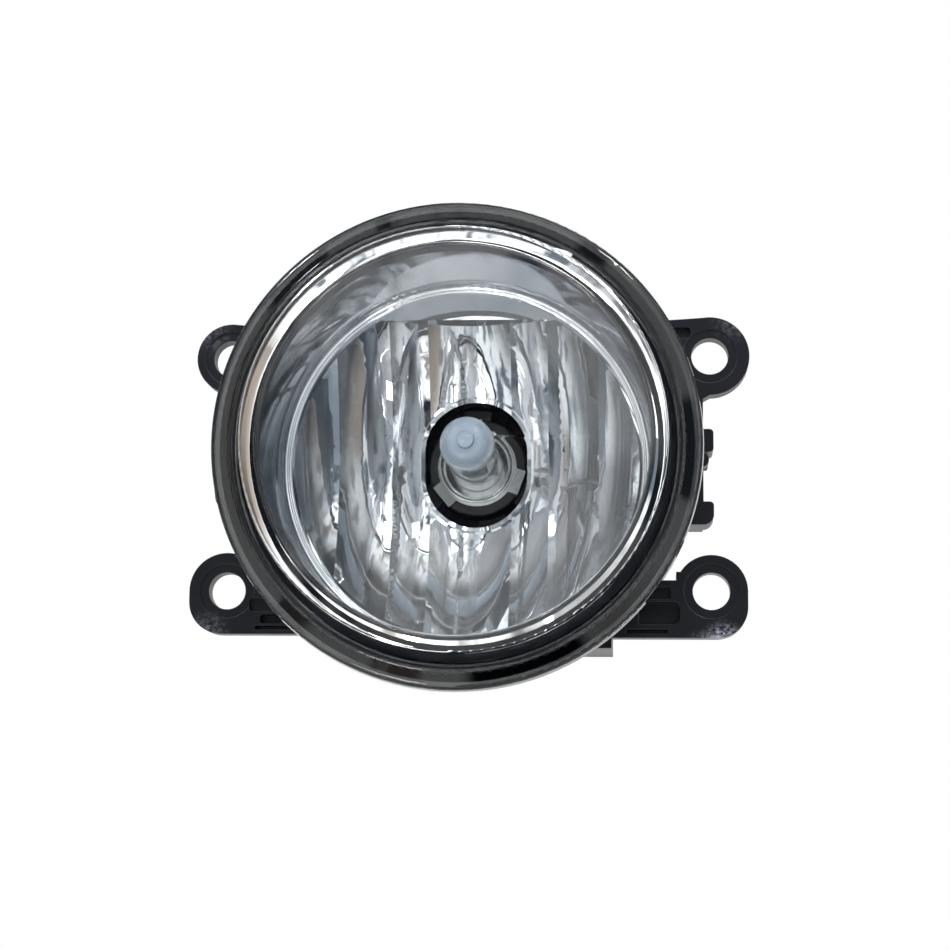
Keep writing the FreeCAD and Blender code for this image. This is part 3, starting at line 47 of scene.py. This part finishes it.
def tools(tree):
    """Two short functions: add makes a node with its values, link joins two sockets."""

    def add(kind, **values):
        node = tree.nodes.new(kind)
        for key, value in values.items():
            if hasattr(node, key):
                setattr(node, key, value)
            else:
                node.inputs[key.replace("_", " ")].default_value = value
        return node

    def link(source, output, target, socket):
        tree.links.new(source.outputs[output], target.inputs[socket])

    return add, link


def start_finish(name):
    """New material with its shader, and the functions that add nodes and links to it."""
    material = bpy.data.materials.new(name)
    material.use_nodes = True
    return (material, material.node_tree.nodes["Principled BSDF"], *tools(material.node_tree))


def between(add, link, source, output, low, high):
    """Scales a 0 to 1 value to low to high."""
    scaled = add("ShaderNodeMapRange", To_Min=low, To_Max=high)
    link(source, output, scaled, "Value")
    return scaled


def blend_colours(add, low, high):
    """Mix node between two colours; its factor is left to link."""
    mix = add("ShaderNodeMix", data_type="RGBA")
    mix.inputs[FIRST].default_value = (*low, 1)
    mix.inputs[SECOND].default_value = (*high, 1)
    return mix


def relief(add, link, texture, depth, strength, under=None):
    """Bump of a texture, with its depth in millimetres, on top of an earlier normal."""
    bump = add("ShaderNodeBump", Distance=depth * MM, Strength=strength)
    link(texture, "Fac", bump, "Height")
    if under:
        link(under, "Normal", bump, "Normal")
    return bump


def rubbed_edges(add, link, rounding):
    """Value that is 0 on faces and rises to 1 on sharp edges, and the edge-rounded normal."""
    rounded = add("ShaderNodeBevel", samples=EDGE_SAMPLES, Radius=rounding * MM)
    fit = add("ShaderNodeVectorMath", operation="DOT_PRODUCT")
    link(rounded, "Normal", fit, 0)
    link(add("ShaderNodeNewGeometry"), "Normal", fit, 1)
    worn = add("ShaderNodeMapRange", From_Min=FACE, From_Max=EDGE)
    link(fit, "Value", worn, "Value")
    return worn, rounded


def moulded(name, colour, rubbed, roughness, grain, depth, wear=0.6, specular=0.5):
    """Moulded plastic or rubber: cloudy tone, grained skin, rubbed edges and soft corners.

    The grain's size and depth are in millimetres. Wear is how far edges take the rubbed colour.
    """
    material, shader, add, link = start_finish(name)
    place = add("ShaderNodeTexCoord")
    clouds = add("ShaderNodeTexNoise", Scale=1 / CLOUD_SIZE, Detail=3.0)
    skin = add("ShaderNodeTexNoise", Scale=1 / (grain * MM), Detail=2.0)
    link(place, "Object", clouds, "Vector")
    link(place, "Object", skin, "Vector")

    worn, rounded = rubbed_edges(add, link, rounding=0.25)
    amount = between(add, link, clouds, "Fac", wear * 0.4, wear * 1.3)
    patchy = add("ShaderNodeMath", operation="MULTIPLY")
    link(worn, "Result", patchy, 0)
    link(amount, "Result", patchy, 1)

    darker, lighter = ([c * share for c in colour] for share in (DARK_CLOUD, LIGHT_CLOUD))
    tone = blend_colours(add, darker, lighter)
    link(clouds, "Fac", tone, "Factor")
    final = blend_colours(add, colour, rubbed)
    link(tone, BLEND, final, FIRST)
    link(patchy, "Value", final, "Factor")
    link(final, BLEND, shader, "Base Color")

    gloss = between(add, link, clouds, "Fac", roughness - 0.07, roughness + 0.07)
    link(gloss, "Result", shader, "Roughness")
    link(relief(add, link, skin, depth, 0.6, rounded), "Normal", shader, "Normal")
    shader.inputs["Specular IOR Level"].default_value = specular
    return material


def scuff(material, spots):
    """Pale scratches and rubbed grain round a few spots, each a place and a strength."""
    shader = material.node_tree.nodes["Principled BSDF"]
    add, link = tools(material.node_tree)
    colour = shader.inputs["Base Color"].links[0].from_node
    place = add("ShaderNodeTexCoord")
    marks = add("ShaderNodeTexNoise", Scale=1 / SCRATCH_SIZE, Detail=6.0, Roughness=0.75)
    link(place, "Object", marks, "Vector")
    scratches = add("ShaderNodeMapRange", From_Min=SCRATCH_FAINT, From_Max=SCRATCH_FULL)
    link(marks, "Fac", scratches, "Value")
    for spot, strength in spots:
        away = add("ShaderNodeVectorMath", operation="DISTANCE")
        away.inputs[1].default_value = spot
        link(place, "Object", away, 0)
        near = add("ShaderNodeMapRange", interpolation_type="SMOOTHSTEP",
                   From_Min=SCUFF_REACH, From_Max=0.0, To_Max=strength)
        link(away, "Value", near, "Value")
        share = add("ShaderNodeMath", operation="MULTIPLY")
        link(near, "Result", share, 0)
        link(scratches, "Result", share, 1)
        scuffed = blend_colours(add, SCUFF_GREY, SCUFF_GREY)
        link(share, "Value", scuffed, "Factor")
        link(colour, BLEND, scuffed, FIRST)
        colour = scuffed
    link(colour, BLEND, shader, "Base Color")


def finish_node(name, material):
    """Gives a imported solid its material."""
    solid = nodes[name]
    solid.data.materials.clear()
    solid.data.materials.append(material)


carrier = moulded(
    "carrier_nylon", CARRIER_BLACK, CARRIER_RUBBED,
    roughness=0.34, grain=0.35, depth=0.02, wear=0.8, specular=0.2,
)
low, high = (Vector(corner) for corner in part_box("bracket"))
scuff(carrier, (
    (Vector((high.x - 5.5 * MM, low.y, low.z + 7.5 * MM)), 1.6),    # lower right ear
    (Vector((high.x - 9.5 * MM, low.y, low.z + 5.5 * MM)), 1.0),
    (Vector((low.x + 3.5 * MM, low.y, low.z + 9.5 * MM)), 0.35),    # lower left ear
    (Vector((low.x + 3.0 * MM, low.y, high.z - 14.0 * MM)), 0.2),   # upper left ear
    (Vector((high.x - 3.0 * MM, low.y, high.z - 12.0 * MM)), 0.2),  # upper right ear
))
finish_node("bracket", carrier)

# ------------------------------------------------------------------ the pivot bushes
# Two flanged bushes of natural nylon, pressed into the carrier's side bosses. The lamp body's
# pins turn in them.

NATURAL_NYLON = (0.62, 0.60, 0.52)
NATURAL_RUBBED = (0.70, 0.69, 0.63)

nylon = moulded(
    "natural_nylon", NATURAL_NYLON, NATURAL_RUBBED,
    roughness=0.42, grain=0.5, depth=0.02, wear=0.3,
)
nylon_shader = nylon.node_tree.nodes["Principled BSDF"]
nylon_shader.inputs["Subsurface Weight"].default_value = 0.2
nylon_shader.inputs["Subsurface Scale"].default_value = 0.6 * MM
for bush in ("pivot_bush_left", "pivot_bush_right"):
    finish_node(bush, nylon)

# ------------------------------------------------------------------ the aiming screw, clip and nut
# A moulded nylon screw with a gripped knob, held in the carrier's tower by a push-on spring clip.
# Its ball-shaped nut sits in an eye of the lamp body and tilts the lamp.

CLIP_STEEL = (0.42, 0.42, 0.43)
DULL_PATCH = 3 * MM
EVEN = (0.3, 0.3, 0.3)          # marks in millimetres: a pressed or cast skin


def streaky(add, link, place, sizes, detail):
    """Noise whose marks have the given x, y and z sizes in millimetres."""
    stretch = add("ShaderNodeMapping", Scale=[1 / (size * MM) for size in sizes])
    link(place, "Object", stretch, "Vector")
    marks = add("ShaderNodeTexNoise", Scale=1.0, Detail=detail)
    link(stretch, "Vector", marks, "Vector")
    return marks


def metal(name, colour, roughness, marks):
    """Metal with fine marks, small dull patches and softened edges."""
    material, shader, add, link = start_finish(name)
    shader.inputs["Metallic"].default_value = 1.0
    place = add("ShaderNodeTexCoord")
    lines = streaky(add, link, place, marks, detail=4.0)
    patches = add("ShaderNodeTexNoise", Scale=1 / DULL_PATCH, Detail=3.0)
    link(place, "Object", patches, "Vector")
    tone = blend_colours(add, [c * 0.82 for c in colour], colour)
    link(patches, "Fac", tone, "Factor")
    link(tone, BLEND, shader, "Base Color")
    gloss = between(add, link, lines, "Fac", roughness * 0.7, roughness * 1.4)
    link(gloss, "Result", shader, "Roughness")
    rounded = add("ShaderNodeBevel", samples=EDGE_SAMPLES, Radius=0.12 * MM)
    link(relief(add, link, lines, 0.006, 0.4, rounded), "Normal", shader, "Normal")
    return material


finish_node("adjuster_screw", nylon)
finish_node("adjuster_nut", nylon)
finish_node("adjuster_clip", metal("clip_steel", CLIP_STEEL, 0.35, EVEN))

# ------------------------------------------------------------------ the lamp body
# A deep bowl moulded in black plastic, with pivot pins, an eye for the aiming nut, screw bosses
# and a breather tube. Its channel at the front takes the lens.

BODY_BLACK = (0.008, 0.009, 0.011)
BODY_RUBBED = (0.06, 0.062, 0.066)

finish_node("housing", moulded(
    "body_plastic", BODY_BLACK, BODY_RUBBED,
    roughness=0.3, grain=0.8, depth=0.012, specular=0.2,
))

# ------------------------------------------------------------------ the reflector
# A moulded bowl, vacuum-coated with aluminium under clear lacquer. Upright flutes spread the light
# sideways; the smooth wall in front of the bowl is coated too.

COATING = (0.91, 0.92, 0.93)
DULL_COATING = [c * 0.94 for c in COATING]
WALL_COATING = (0.86, 0.87, 0.88)
EDGE_TINT = (0.20, 0.21, 0.23)  # the lacquer dulls the coating where it is seen edge on
HAZE_ROUGHNESS = 0.04
WALL_ROUGHNESS = 0.05
BARE_PLASTIC = (0.012, 0.012, 0.014)
BARE_ROUGHNESS = 0.45

AXIS_Z = 0.6 * MM               # the bowl's own axis
FOCAL_LENGTH = 18 * MM
COATED_TO = 12.4 * MM           # coating ends between the bowl's two faces, at the vertex
BULB_X, BULB_Z = (sum(corner[i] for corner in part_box("bulb_collar")) / 2 for i in (0, 2))
HOLE_COATED_R = 13.4 * MM       # the bulb hole's rim is coated this far out and back
HOLE_COATED_TO = 14.6 * MM
WALL_BACK_Y = -5.6 * MM         # the wall ends at the lip round the bowl
FRONT_EDGE_Y = -31.1 * MM       # the front edge is bare from here on
FRONT_EDGE_R = 36.7 * MM


def bright_coating():
    """Bright coating inside, bare black plastic outside and on the front edge.

    The bowl is a mirror with upright draw lines, faint orange peel and a little haze. The wall in
    front of it is a little duller.
    """
    material, shader, add, link = start_finish("bright_coating")
    place = add("ShaderNodeTexCoord")
    axes = add("ShaderNodeSeparateXYZ")
    link(place, "Object", axes, 0)
    x, y, z = ((axes, axis) for axis in "XYZ")

    def combine(operation, first, second):
        """Math node on two values, each a number or a node and its output."""
        node = add("ShaderNodeMath", operation=operation)
        for socket, value in enumerate((first, second)):
            if isinstance(value, tuple):
                link(*value, node, socket)
            else:
                node.inputs[socket].default_value = value
        return (node, "Value")

    def square_sum(first, second):
        """Squared distance from two offsets."""
        squares = (combine("MULTIPLY", offset, offset) for offset in (first, second))
        return combine("ADD", *squares)

    from_axis = square_sum(x, combine("SUBTRACT", z, AXIS_Z))
    bowl_depth = combine("ADD", y, combine("DIVIDE", from_axis, 4 * FOCAL_LENGTH))
    in_bowl = combine("LESS_THAN", bowl_depth, COATED_TO)
    from_bulb = square_sum(combine("SUBTRACT", x, BULB_X), combine("SUBTRACT", z, BULB_Z))
    in_hole = combine("LESS_THAN", from_bulb, HOLE_COATED_R ** 2)
    in_hole = combine("MULTIPLY", in_hole, combine("LESS_THAN", y, HOLE_COATED_TO))
    inside = combine("MAXIMUM", in_bowl, in_hole)
    inside = combine("MULTIPLY", inside, combine("LESS_THAN", from_axis, FRONT_EDGE_R ** 2))
    coated = combine("MULTIPLY", inside, combine("GREATER_THAN", y, FRONT_EDGE_Y))
    wall = combine("LESS_THAN", y, WALL_BACK_Y)

    haze = streaky(add, link, place, (11, 11, 11), detail=4.0)
    tone = blend_colours(add, DULL_COATING, COATING)
    link(haze, "Fac", tone, "Factor")
    shade = blend_colours(add, COATING, WALL_COATING)
    link(*wall, shade, "Factor")
    link(tone, BLEND, shade, FIRST)
    final = blend_colours(add, BARE_PLASTIC, COATING)
    link(*coated, final, "Factor")
    link(shade, BLEND, final, SECOND)
    link(final, BLEND, shader, "Base Color")
    link(*coated, shader, "Metallic")
    shader.inputs["Specular Tint"].default_value = (*EDGE_TINT, 1)

    gloss = between(add, link, haze, "Fac", 0.0, HAZE_ROUGHNESS)
    duller = combine("ADD", (gloss, "Result"), combine("MULTIPLY", wall, WALL_ROUGHNESS))
    number_a, number_b = 2, 3
    roughness = add("ShaderNodeMix")
    roughness.inputs[number_a].default_value = BARE_ROUGHNESS
    link(*coated, roughness, 0)
    link(*duller, roughness, number_b)
    link(roughness, 0, shader, "Roughness")

    normal = None
    for sizes, detail, depth in (
        ((4, 4, 4), 1.5, 0.012),            # orange peel
        ((0.9, 6, 16), 2.0, 0.003),         # draw lines
        ((0.35, 0.35, 0.35), 1.0, 0.0006),  # fine grain
    ):
        texture = streaky(add, link, place, sizes, detail)
        normal = relief(add, link, texture, depth, 0.5, normal)
    link(normal, "Normal", shader, "Normal")
    return material


finish_node("reflector", bright_coating())

# ------------------------------------------------------------------ the reflector's screws
# Three zinc-plated self-tapping screws with cross recesses. They hold the reflector from behind.

ZINC_PLATE = (0.60, 0.60, 0.57)

finish_node("reflector_screws", metal("zinc_plate", ZINC_PLATE, 0.28, EVEN))

# ------------------------------------------------------------------ the lens bond
# Black silicone adhesive that fills the body's channel round the lens's tongue.

BOND_BLACK = (0.012, 0.012, 0.013)
BOND_RUBBED = (0.02, 0.02, 0.02)

finish_node("lens_adhesive", moulded(
    "bond_silicone", BOND_BLACK, BOND_RUBBED, roughness=0.35, grain=1.5, depth=0.05, wear=0.1,
))

# ------------------------------------------------------------------ the lens
# Thick pressed glass, clear and polished, with a raised ridge round its face and a flat flange
# that is bonded into the body.

GLASS_TINT = (0.97, 0.985, 0.99)
GLASS_IOR = 1.50
RIPPLE_SIZE = 7 * MM
SMEAR_SIZE = 14 * MM
SMEAR_ROUGHNESS = 0.02


def pressed_glass():
    """Clear glass with the faint ripple that pressing leaves, and slight smears."""
    material, shader, add, link = start_finish("pressed_glass")
    shader.inputs["Base Color"].default_value = (*GLASS_TINT, 1)
    shader.inputs["Transmission Weight"].default_value = 1.0
    shader.inputs["IOR"].default_value = GLASS_IOR
    place = add("ShaderNodeTexCoord")
    ripple = add("ShaderNodeTexNoise", Scale=1 / RIPPLE_SIZE, Detail=1.0)
    smear = add("ShaderNodeTexNoise", Scale=1 / SMEAR_SIZE, Detail=5.0)
    link(place, "Object", ripple, "Vector")
    link(place, "Object", smear, "Vector")
    gloss = between(add, link, smear, "Fac", 0.0, SMEAR_ROUGHNESS)
    link(gloss, "Result", shader, "Roughness")
    link(relief(add, link, ripple, 0.004, 0.4), "Normal", shader, "Normal")
    return material


finish_node("lens", pressed_glass())

# ------------------------------------------------------------------ the breather
# A soft rubber cap on the body's tube, over a plug of open foam that keeps dust out.

RUBBER_BLACK = (0.022, 0.022, 0.023)
RUBBER_RUBBED = (0.05, 0.05, 0.05)
FOAM_GREY = (0.18, 0.18, 0.19)
FOAM_RUBBED = (0.2, 0.2, 0.2)

finish_node("vent_cap", moulded(
    "soft_rubber", RUBBER_BLACK, RUBBER_RUBBED, roughness=0.62, grain=0.4, depth=0.03, wear=0.4,
))
finish_node("vent_filter", moulded(
    "grey_foam", FOAM_GREY, FOAM_RUBBED, roughness=0.9, grain=0.15, depth=0.2,
))

# ------------------------------------------------------------------ the bulb's glass
# A quartz capsule pinched flat at its foot round two molybdenum foils. A milky blue-grey coat
# covers its tip, so that no light leaves straight ahead.

QUARTZ = (0.80, 0.84, 0.88)
DRAW_LINE = (0.8, 14, 0.8)      # millimetres: thin across the tube and long along it
MILKY_DARK = (0.50, 0.60, 0.72)
MILKY_LIGHT = (0.63, 0.73, 0.84)
MOTTLE_SIZE = 2.2 * MM


def thin_quartz():
    """Thin drawn tube: clear straight on, a bright skin where it curves away, with draw lines."""
    material, shader, add, link = start_finish("quartz")
    place = add("ShaderNodeTexCoord")
    lines = streaky(add, link, place, DRAW_LINE, detail=2.0)
    turned_away = add("ShaderNodeLayerWeight", Blend=0.35)
    skin = between(add, link, turned_away, "Facing", 0.04, 0.75)
    link(skin, "Result", shader, "Alpha")
    shader.inputs["Base Color"].default_value = (*QUARTZ, 1)
    shader.inputs["Metallic"].default_value = 0.6
    gloss = between(add, link, lines, "Fac", 0.02, 0.10)
    link(gloss, "Result", shader, "Roughness")
    link(relief(add, link, lines, 0.01, 0.4), "Normal", shader, "Normal")
    return material


def milky_coat():
    """Milky baked coat: satin and mottled, under a thin gloss."""
    material, shader, add, link = start_finish("tip_coat")
    place = add("ShaderNodeTexCoord")
    mottle = add("ShaderNodeTexNoise", Scale=1 / MOTTLE_SIZE, Detail=4.0)
    link(place, "Object", mottle, "Vector")
    tone = blend_colours(add, MILKY_DARK, MILKY_LIGHT)
    link(mottle, "Fac", tone, "Factor")
    link(tone, BLEND, shader, "Base Color")
    gloss = between(add, link, mottle, "Fac", 0.22, 0.34)
    link(gloss, "Result", shader, "Roughness")
    link(relief(add, link, mottle, 0.01, 1.0), "Normal", shader, "Normal")
    shader.inputs["Coat Weight"].default_value = 0.4
    shader.inputs["Coat Roughness"].default_value = 0.08
    return material


finish_node("bulb_capsule", thin_quartz())
finish_node("bulb_tip_cap", milky_coat())

# ------------------------------------------------------------------ the bulb's metal
# Tungsten coil, molybdenum leads and foils, a polished steel sleeve round the capsule's foot and
# the sheet-steel plate that is welded under it.

TUNGSTEN = (0.22, 0.22, 0.23)
MOLYBDENUM = (0.5, 0.5, 0.51)
POLISHED_STEEL = (0.72, 0.72, 0.71)
ROLLED_STEEL = (0.62, 0.62, 0.61)
ALONG_WIRE = (0.05, 1.5, 0.05)  # marks in millimetres: drawn along the bulb

wire = metal("molybdenum", MOLYBDENUM, 0.25, ALONG_WIRE)
finish_node("bulb_filament", metal("tungsten", TUNGSTEN, 0.4, EVEN))
finish_node("bulb_leads", wire)
finish_node("bulb_foils", wire)
finish_node("bulb_collar", metal("polished_steel", POLISHED_STEEL, 0.1, ALONG_WIRE))
finish_node("bulb_plate", metal("rolled_steel", ROLLED_STEEL, 0.22, EVEN))

# ------------------------------------------------------------------ the bulb's base
# Black heat-resistant plastic with a three-lug bayonet, a silicone seal ring and a shrouded
# socket for the wiring plug, with two tin-plated blades inside.

BASE_BLACK = (0.025, 0.025, 0.027)
BASE_RUBBED = (0.09, 0.09, 0.09)
SEAL_RED = (0.16, 0.035, 0.02)
SEAL_RUBBED = (0.2, 0.06, 0.04)
TIN_PLATE = (0.66, 0.64, 0.60)

finish_node("bulb_base", moulded(
    "base_plastic", BASE_BLACK, BASE_RUBBED, roughness=0.45, grain=0.6, depth=0.02,
))
finish_node("bulb_seal", moulded(
    "seal_silicone", SEAL_RED, SEAL_RUBBED, roughness=0.4, grain=0.8, depth=0.02,
))
finish_node("bulb_terminals", metal("tin_plate", TIN_PLATE, 0.25, ALONG_WIRE))

# ------------------------------------------------------------------ the floor
# A plain matt pale floor under the lamp, which carries its shadow and fades to white further out.
# It stays out of mirrors and glass, where the low lights would otherwise be hidden behind it.

FLOOR_Z = -0.16
FLOOR_HALF = 0.6
FLOOR_SQUARES = 8
FLOOR_FADE = (0.22, 0.50)
FLOOR_DARK = (0.82, 0.82, 0.82)
FLOOR_LIGHT = (0.86, 0.86, 0.86)


def pale_floor():
    """Matt pale floor material that fades to white outwards and lets mirrored light through."""
    material, shader, add, link = start_finish("studio_floor")
    place = add("ShaderNodeTexCoord")
    clouds = add("ShaderNodeTexNoise", Scale=2.0)
    link(place, "Object", clouds, "Vector")
    tone = blend_colours(add, FLOOR_DARK, FLOOR_LIGHT)
    link(clouds, "Fac", tone, "Factor")
    link(tone, BLEND, shader, "Base Color")
    shader.inputs["Roughness"].default_value = 0.9

    near_edge, far_edge = FLOOR_FADE
    away = add("ShaderNodeVectorMath", operation="LENGTH")
    link(place, "Object", away, 0)
    fade = add("ShaderNodeMapRange", interpolation_type="SMOOTHSTEP",
               From_Min=near_edge, From_Max=far_edge)
    link(away, "Value", fade, "Value")
    rays = add("ShaderNodeLightPath")
    seen_white = add("ShaderNodeMath", operation="MULTIPLY")
    link(fade, "Result", seen_white, 0)
    link(rays, "Is Camera Ray", seen_white, 1)
    ground = add("ShaderNodeMixShader")
    link(seen_white, "Value", ground, 0)
    link(shader, "BSDF", ground, 1)
    link(add("ShaderNodeEmission", Color=(1, 1, 1, 1)), "Emission", ground, 2)

    mirrored = add("ShaderNodeMath", operation="MAXIMUM")
    link(rays, "Is Glossy Ray", mirrored, 0)
    link(rays, "Is Transmission Ray", mirrored, 1)
    shown = add("ShaderNodeMixShader")
    link(mirrored, "Value", shown, 0)
    link(ground, "Shader", shown, 1)
    link(add("ShaderNodeBsdfTransparent"), "BSDF", shown, 2)
    link(shown, "Shader", material.node_tree.nodes["Material Output"], "Surface")
    return material


floor_mesh = bpy.data.meshes.new("floor")
builder = bmesh.new()
bmesh.ops.create_grid(
    builder, x_segments=FLOOR_SQUARES, y_segments=FLOOR_SQUARES, size=FLOOR_HALF
)
builder.to_mesh(floor_mesh)
builder.free()
floor_mesh.materials.append(pale_floor())
floor = bpy.data.objects.new("floor", floor_mesh)
floor.location = (0, 0, FLOOR_Z)
bpy.context.scene.collection.objects.link(floor)

# ------------------------------------------------------------------ the surroundings
# White behind the lamp and a dim room ahead of it, which show in gloss, metal and glass. Matt
# surfaces get an even light. Places in the room are directions: x right, y to the back, z up.

WHITE = (1.0, 1.0, 1.0)
MATT_LIGHT = (0.46, 0.47, 0.49)             # what matt surfaces get from all round
WALL_DARK, WALL_BRIGHT = (0.17, 0.21, 0.26), (1.45, 1.48, 1.50)
TABLE_DARK, TABLE_BRIGHT = (0.45, 0.40, 0.38), (1.40, 1.42, 1.44)
TABLE_RIGHT = (0.45, 0.45, 0.47)
WALL_LEFT = (0.52, 0.44, 0.37)
FLOOR_BROWN = (0.05, 0.042, 0.036)
SIDES_DARK = (0.012, 0.014, 0.019)
SHAPE_DARK = (0.020, 0.022, 0.028)

BAND_SCALE = (8.0, 8.0, 2.2)                # soft upright bands
BAND_SHIFT = (0.35, 0.0, 0.0)
WALL_BANDS = (0.39, 0.48)
TABLE_BANDS = (0.38, 0.49)
TABLE_RIGHT_X = (0.15, 0.40)
WALL_LEFT_X = (-0.80, -0.60)
TABLE_TOP_Z = (-0.40, -0.10)
FLOOR_TOP_Z = (-0.94, -0.84)
SIDES_FROM_Y = (-0.52, -0.26)
BACKDROP_Y = (0.86, 0.92)
SHAPES = ((0.13, -0.44, 0.17, 0.14), (-0.05, 0.15, 0.13, 0.12))  # x, z, half width, half height
SHAPE_RIM = (0.85, 1.15)


def studio_world():
    """White straight on; glass and metal see a white backdrop behind and a dim room ahead.

    The room has dark sides, a brown floor, a table and cool grey walls with soft upright bands.
    One dark shape stands low in front of the table. The other keeps the lens's flat face from
    mirroring a bright wall over the bulb.
    """
    world = bpy.data.worlds.new("studio")
    bpy.context.scene.world = world
    world.use_nodes = True
    world.node_tree.nodes.clear()
    add, link = tools(world.node_tree)

    def ramp(node, output, limits):
        """Smooth step of a value between two limits."""
        low, high = limits
        step = add("ShaderNodeMapRange", interpolation_type="SMOOTHSTEP",
                   From_Min=low, From_Max=high)
        link(node, output, step, "Value")
        return (step, "Result")

    def mix(factor, first, second):
        """Blend of two colours, each a colour or an earlier blend."""
        blend = add("ShaderNodeMix", data_type="RGBA")
        link(*factor, blend, "Factor")
        for socket, value in ((FIRST, first), (SECOND, second)):
            if isinstance(value, tuple):
                blend.inputs[socket].default_value = (*value, 1)
            else:
                link(value, BLEND, blend, socket)
        return blend

    place = add("ShaderNodeTexCoord")
    axes = add("ShaderNodeSeparateXYZ")
    link(place, "Generated", axes, 0)
    upright = add("ShaderNodeMapping", Scale=BAND_SCALE, Location=BAND_SHIFT)
    link(place, "Generated", upright, 0)
    bands = add("ShaderNodeTexNoise", Scale=1.0, Detail=3.0)
    link(upright, 0, bands, "Vector")

    walls = mix(ramp(bands, "Fac", WALL_BANDS), WALL_DARK, WALL_BRIGHT)
    walls = mix(ramp(axes, "X", WALL_LEFT_X), WALL_LEFT, walls)
    table = mix(ramp(bands, "Fac", TABLE_BANDS), TABLE_DARK, TABLE_BRIGHT)
    table = mix(ramp(axes, "X", TABLE_RIGHT_X), table, TABLE_RIGHT)
    room = mix(ramp(axes, "Z", TABLE_TOP_Z), table, walls)
    room = mix(ramp(axes, "Z", FLOOR_TOP_Z), FLOOR_BROWN, room)
    room = mix(ramp(axes, "Y", SIDES_FROM_Y), room, SIDES_DARK)
    for x, z, half_width, half_height in SHAPES:
        shape = add(
            "ShaderNodeMapping",
            Location=(-x / half_width, 0.0, -z / half_height),
            Scale=(1 / half_width, 0.0, 1 / half_height),
        )
        link(place, "Generated", shape, 0)
        from_middle = add("ShaderNodeVectorMath", operation="LENGTH")
        link(shape, 0, from_middle, 0)
        room = mix(ramp(from_middle, "Value", SHAPE_RIM), SHAPE_DARK, room)
    seen = mix(ramp(axes, "Y", BACKDROP_Y), room, WHITE)

    rays = add("ShaderNodeLightPath")
    mirrored = add("ShaderNodeMath", operation="MAXIMUM")
    link(rays, "Is Glossy Ray", mirrored, 0)
    link(rays, "Is Transmission Ray", mirrored, 1)
    light = mix((mirrored, "Value"), MATT_LIGHT, seen)
    final = mix((rays, "Is Camera Ray"), light, WHITE)
    background = add("ShaderNodeBackground")
    link(final, BLEND, background, "Color")
    link(background, 0, add("ShaderNodeOutputWorld"), "Surface")


studio_world()

# ------------------------------------------------------------------ the lights
# Soft boxes turned towards the lamp: two on the ceiling, two low ones ahead that the bowl shows,
# and a large one behind and above.

LAMP_MIDDLE = Vector((0, -0.01, 0))


def bearing(azimuth, elevation):
    """Direction from the lamp; azimuth 0 is straight ahead and grows to the right, in degrees."""
    turn, rise = math.radians(azimuth), math.radians(elevation)
    return Vector((
        math.sin(turn) * math.cos(rise),
        -math.cos(turn) * math.cos(rise),
        math.sin(rise),
    ))


def soft_box(name, azimuth, elevation, distance, size, power):
    """Soft light of a width and height at a bearing from the lamp."""
    data = bpy.data.lights.new(name, "AREA")
    data.shape = "RECTANGLE"
    data.size, data.size_y = size
    data.energy = power
    light = bpy.data.objects.new(name, data)
    light.location = bearing(azimuth, elevation) * distance
    light.rotation_mode = "QUATERNION"
    light.rotation_quaternion = (LAMP_MIDDLE - light.location).to_track_quat("-Z", "Y")
    bpy.context.scene.collection.objects.link(light)


for name, azimuth, elevation, distance, size, power in (
    ("ceiling_left", -38, 38, 1.1, (0.14, 0.14), 5.0),
    ("ceiling_right", 27, 39, 1.1, (0.16, 0.16), 5.0),
    ("low_left", -20, -37, 1.0, (0.22, 0.16), 1.3),
    ("low_front", 24, -36, 1.0, (0.14, 0.14), 0.8),
    ("behind_above", 165, 50, 1.0, (0.5, 0.4), 3.0),
):
    soft_box(name, azimuth, elevation, distance, size, power)

# ------------------------------------------------------------------ the camera
# A long lens, a little to the right of the lamp's axis and below it, looking up at the glass.

CAMERA_AZIMUTH = 4.3
CAMERA_ELEVATION = -8.9
CAMERA_DISTANCE = 0.457
CAMERA_ROLL = 0.47
FOCAL_MM = 95.6
SENSOR_MM = 36.0
SHIFT = (0.021, -0.0346)
LENS_CENTRE = Vector((0, -0.0354, 0.0006))

camera_data = bpy.data.cameras.new("camera")
camera_data.lens = FOCAL_MM
camera_data.sensor_width = SENSOR_MM
camera_data.shift_x, camera_data.shift_y = SHIFT
camera_data.clip_start = 0.01
camera = bpy.data.objects.new("camera", camera_data)
back = bearing(CAMERA_AZIMUTH, CAMERA_ELEVATION)
camera.location = LENS_CENTRE + back * CAMERA_DISTANCE
camera.rotation_mode = "QUATERNION"
level = (-back).to_track_quat("-Z", "Y")
camera.rotation_quaternion = Quaternion(back, math.radians(CAMERA_ROLL)) @ level
bpy.context.scene.collection.objects.link(camera)
bpy.context.scene.camera = camera
bpy.context.scene.view_settings.view_transform = "Standard"
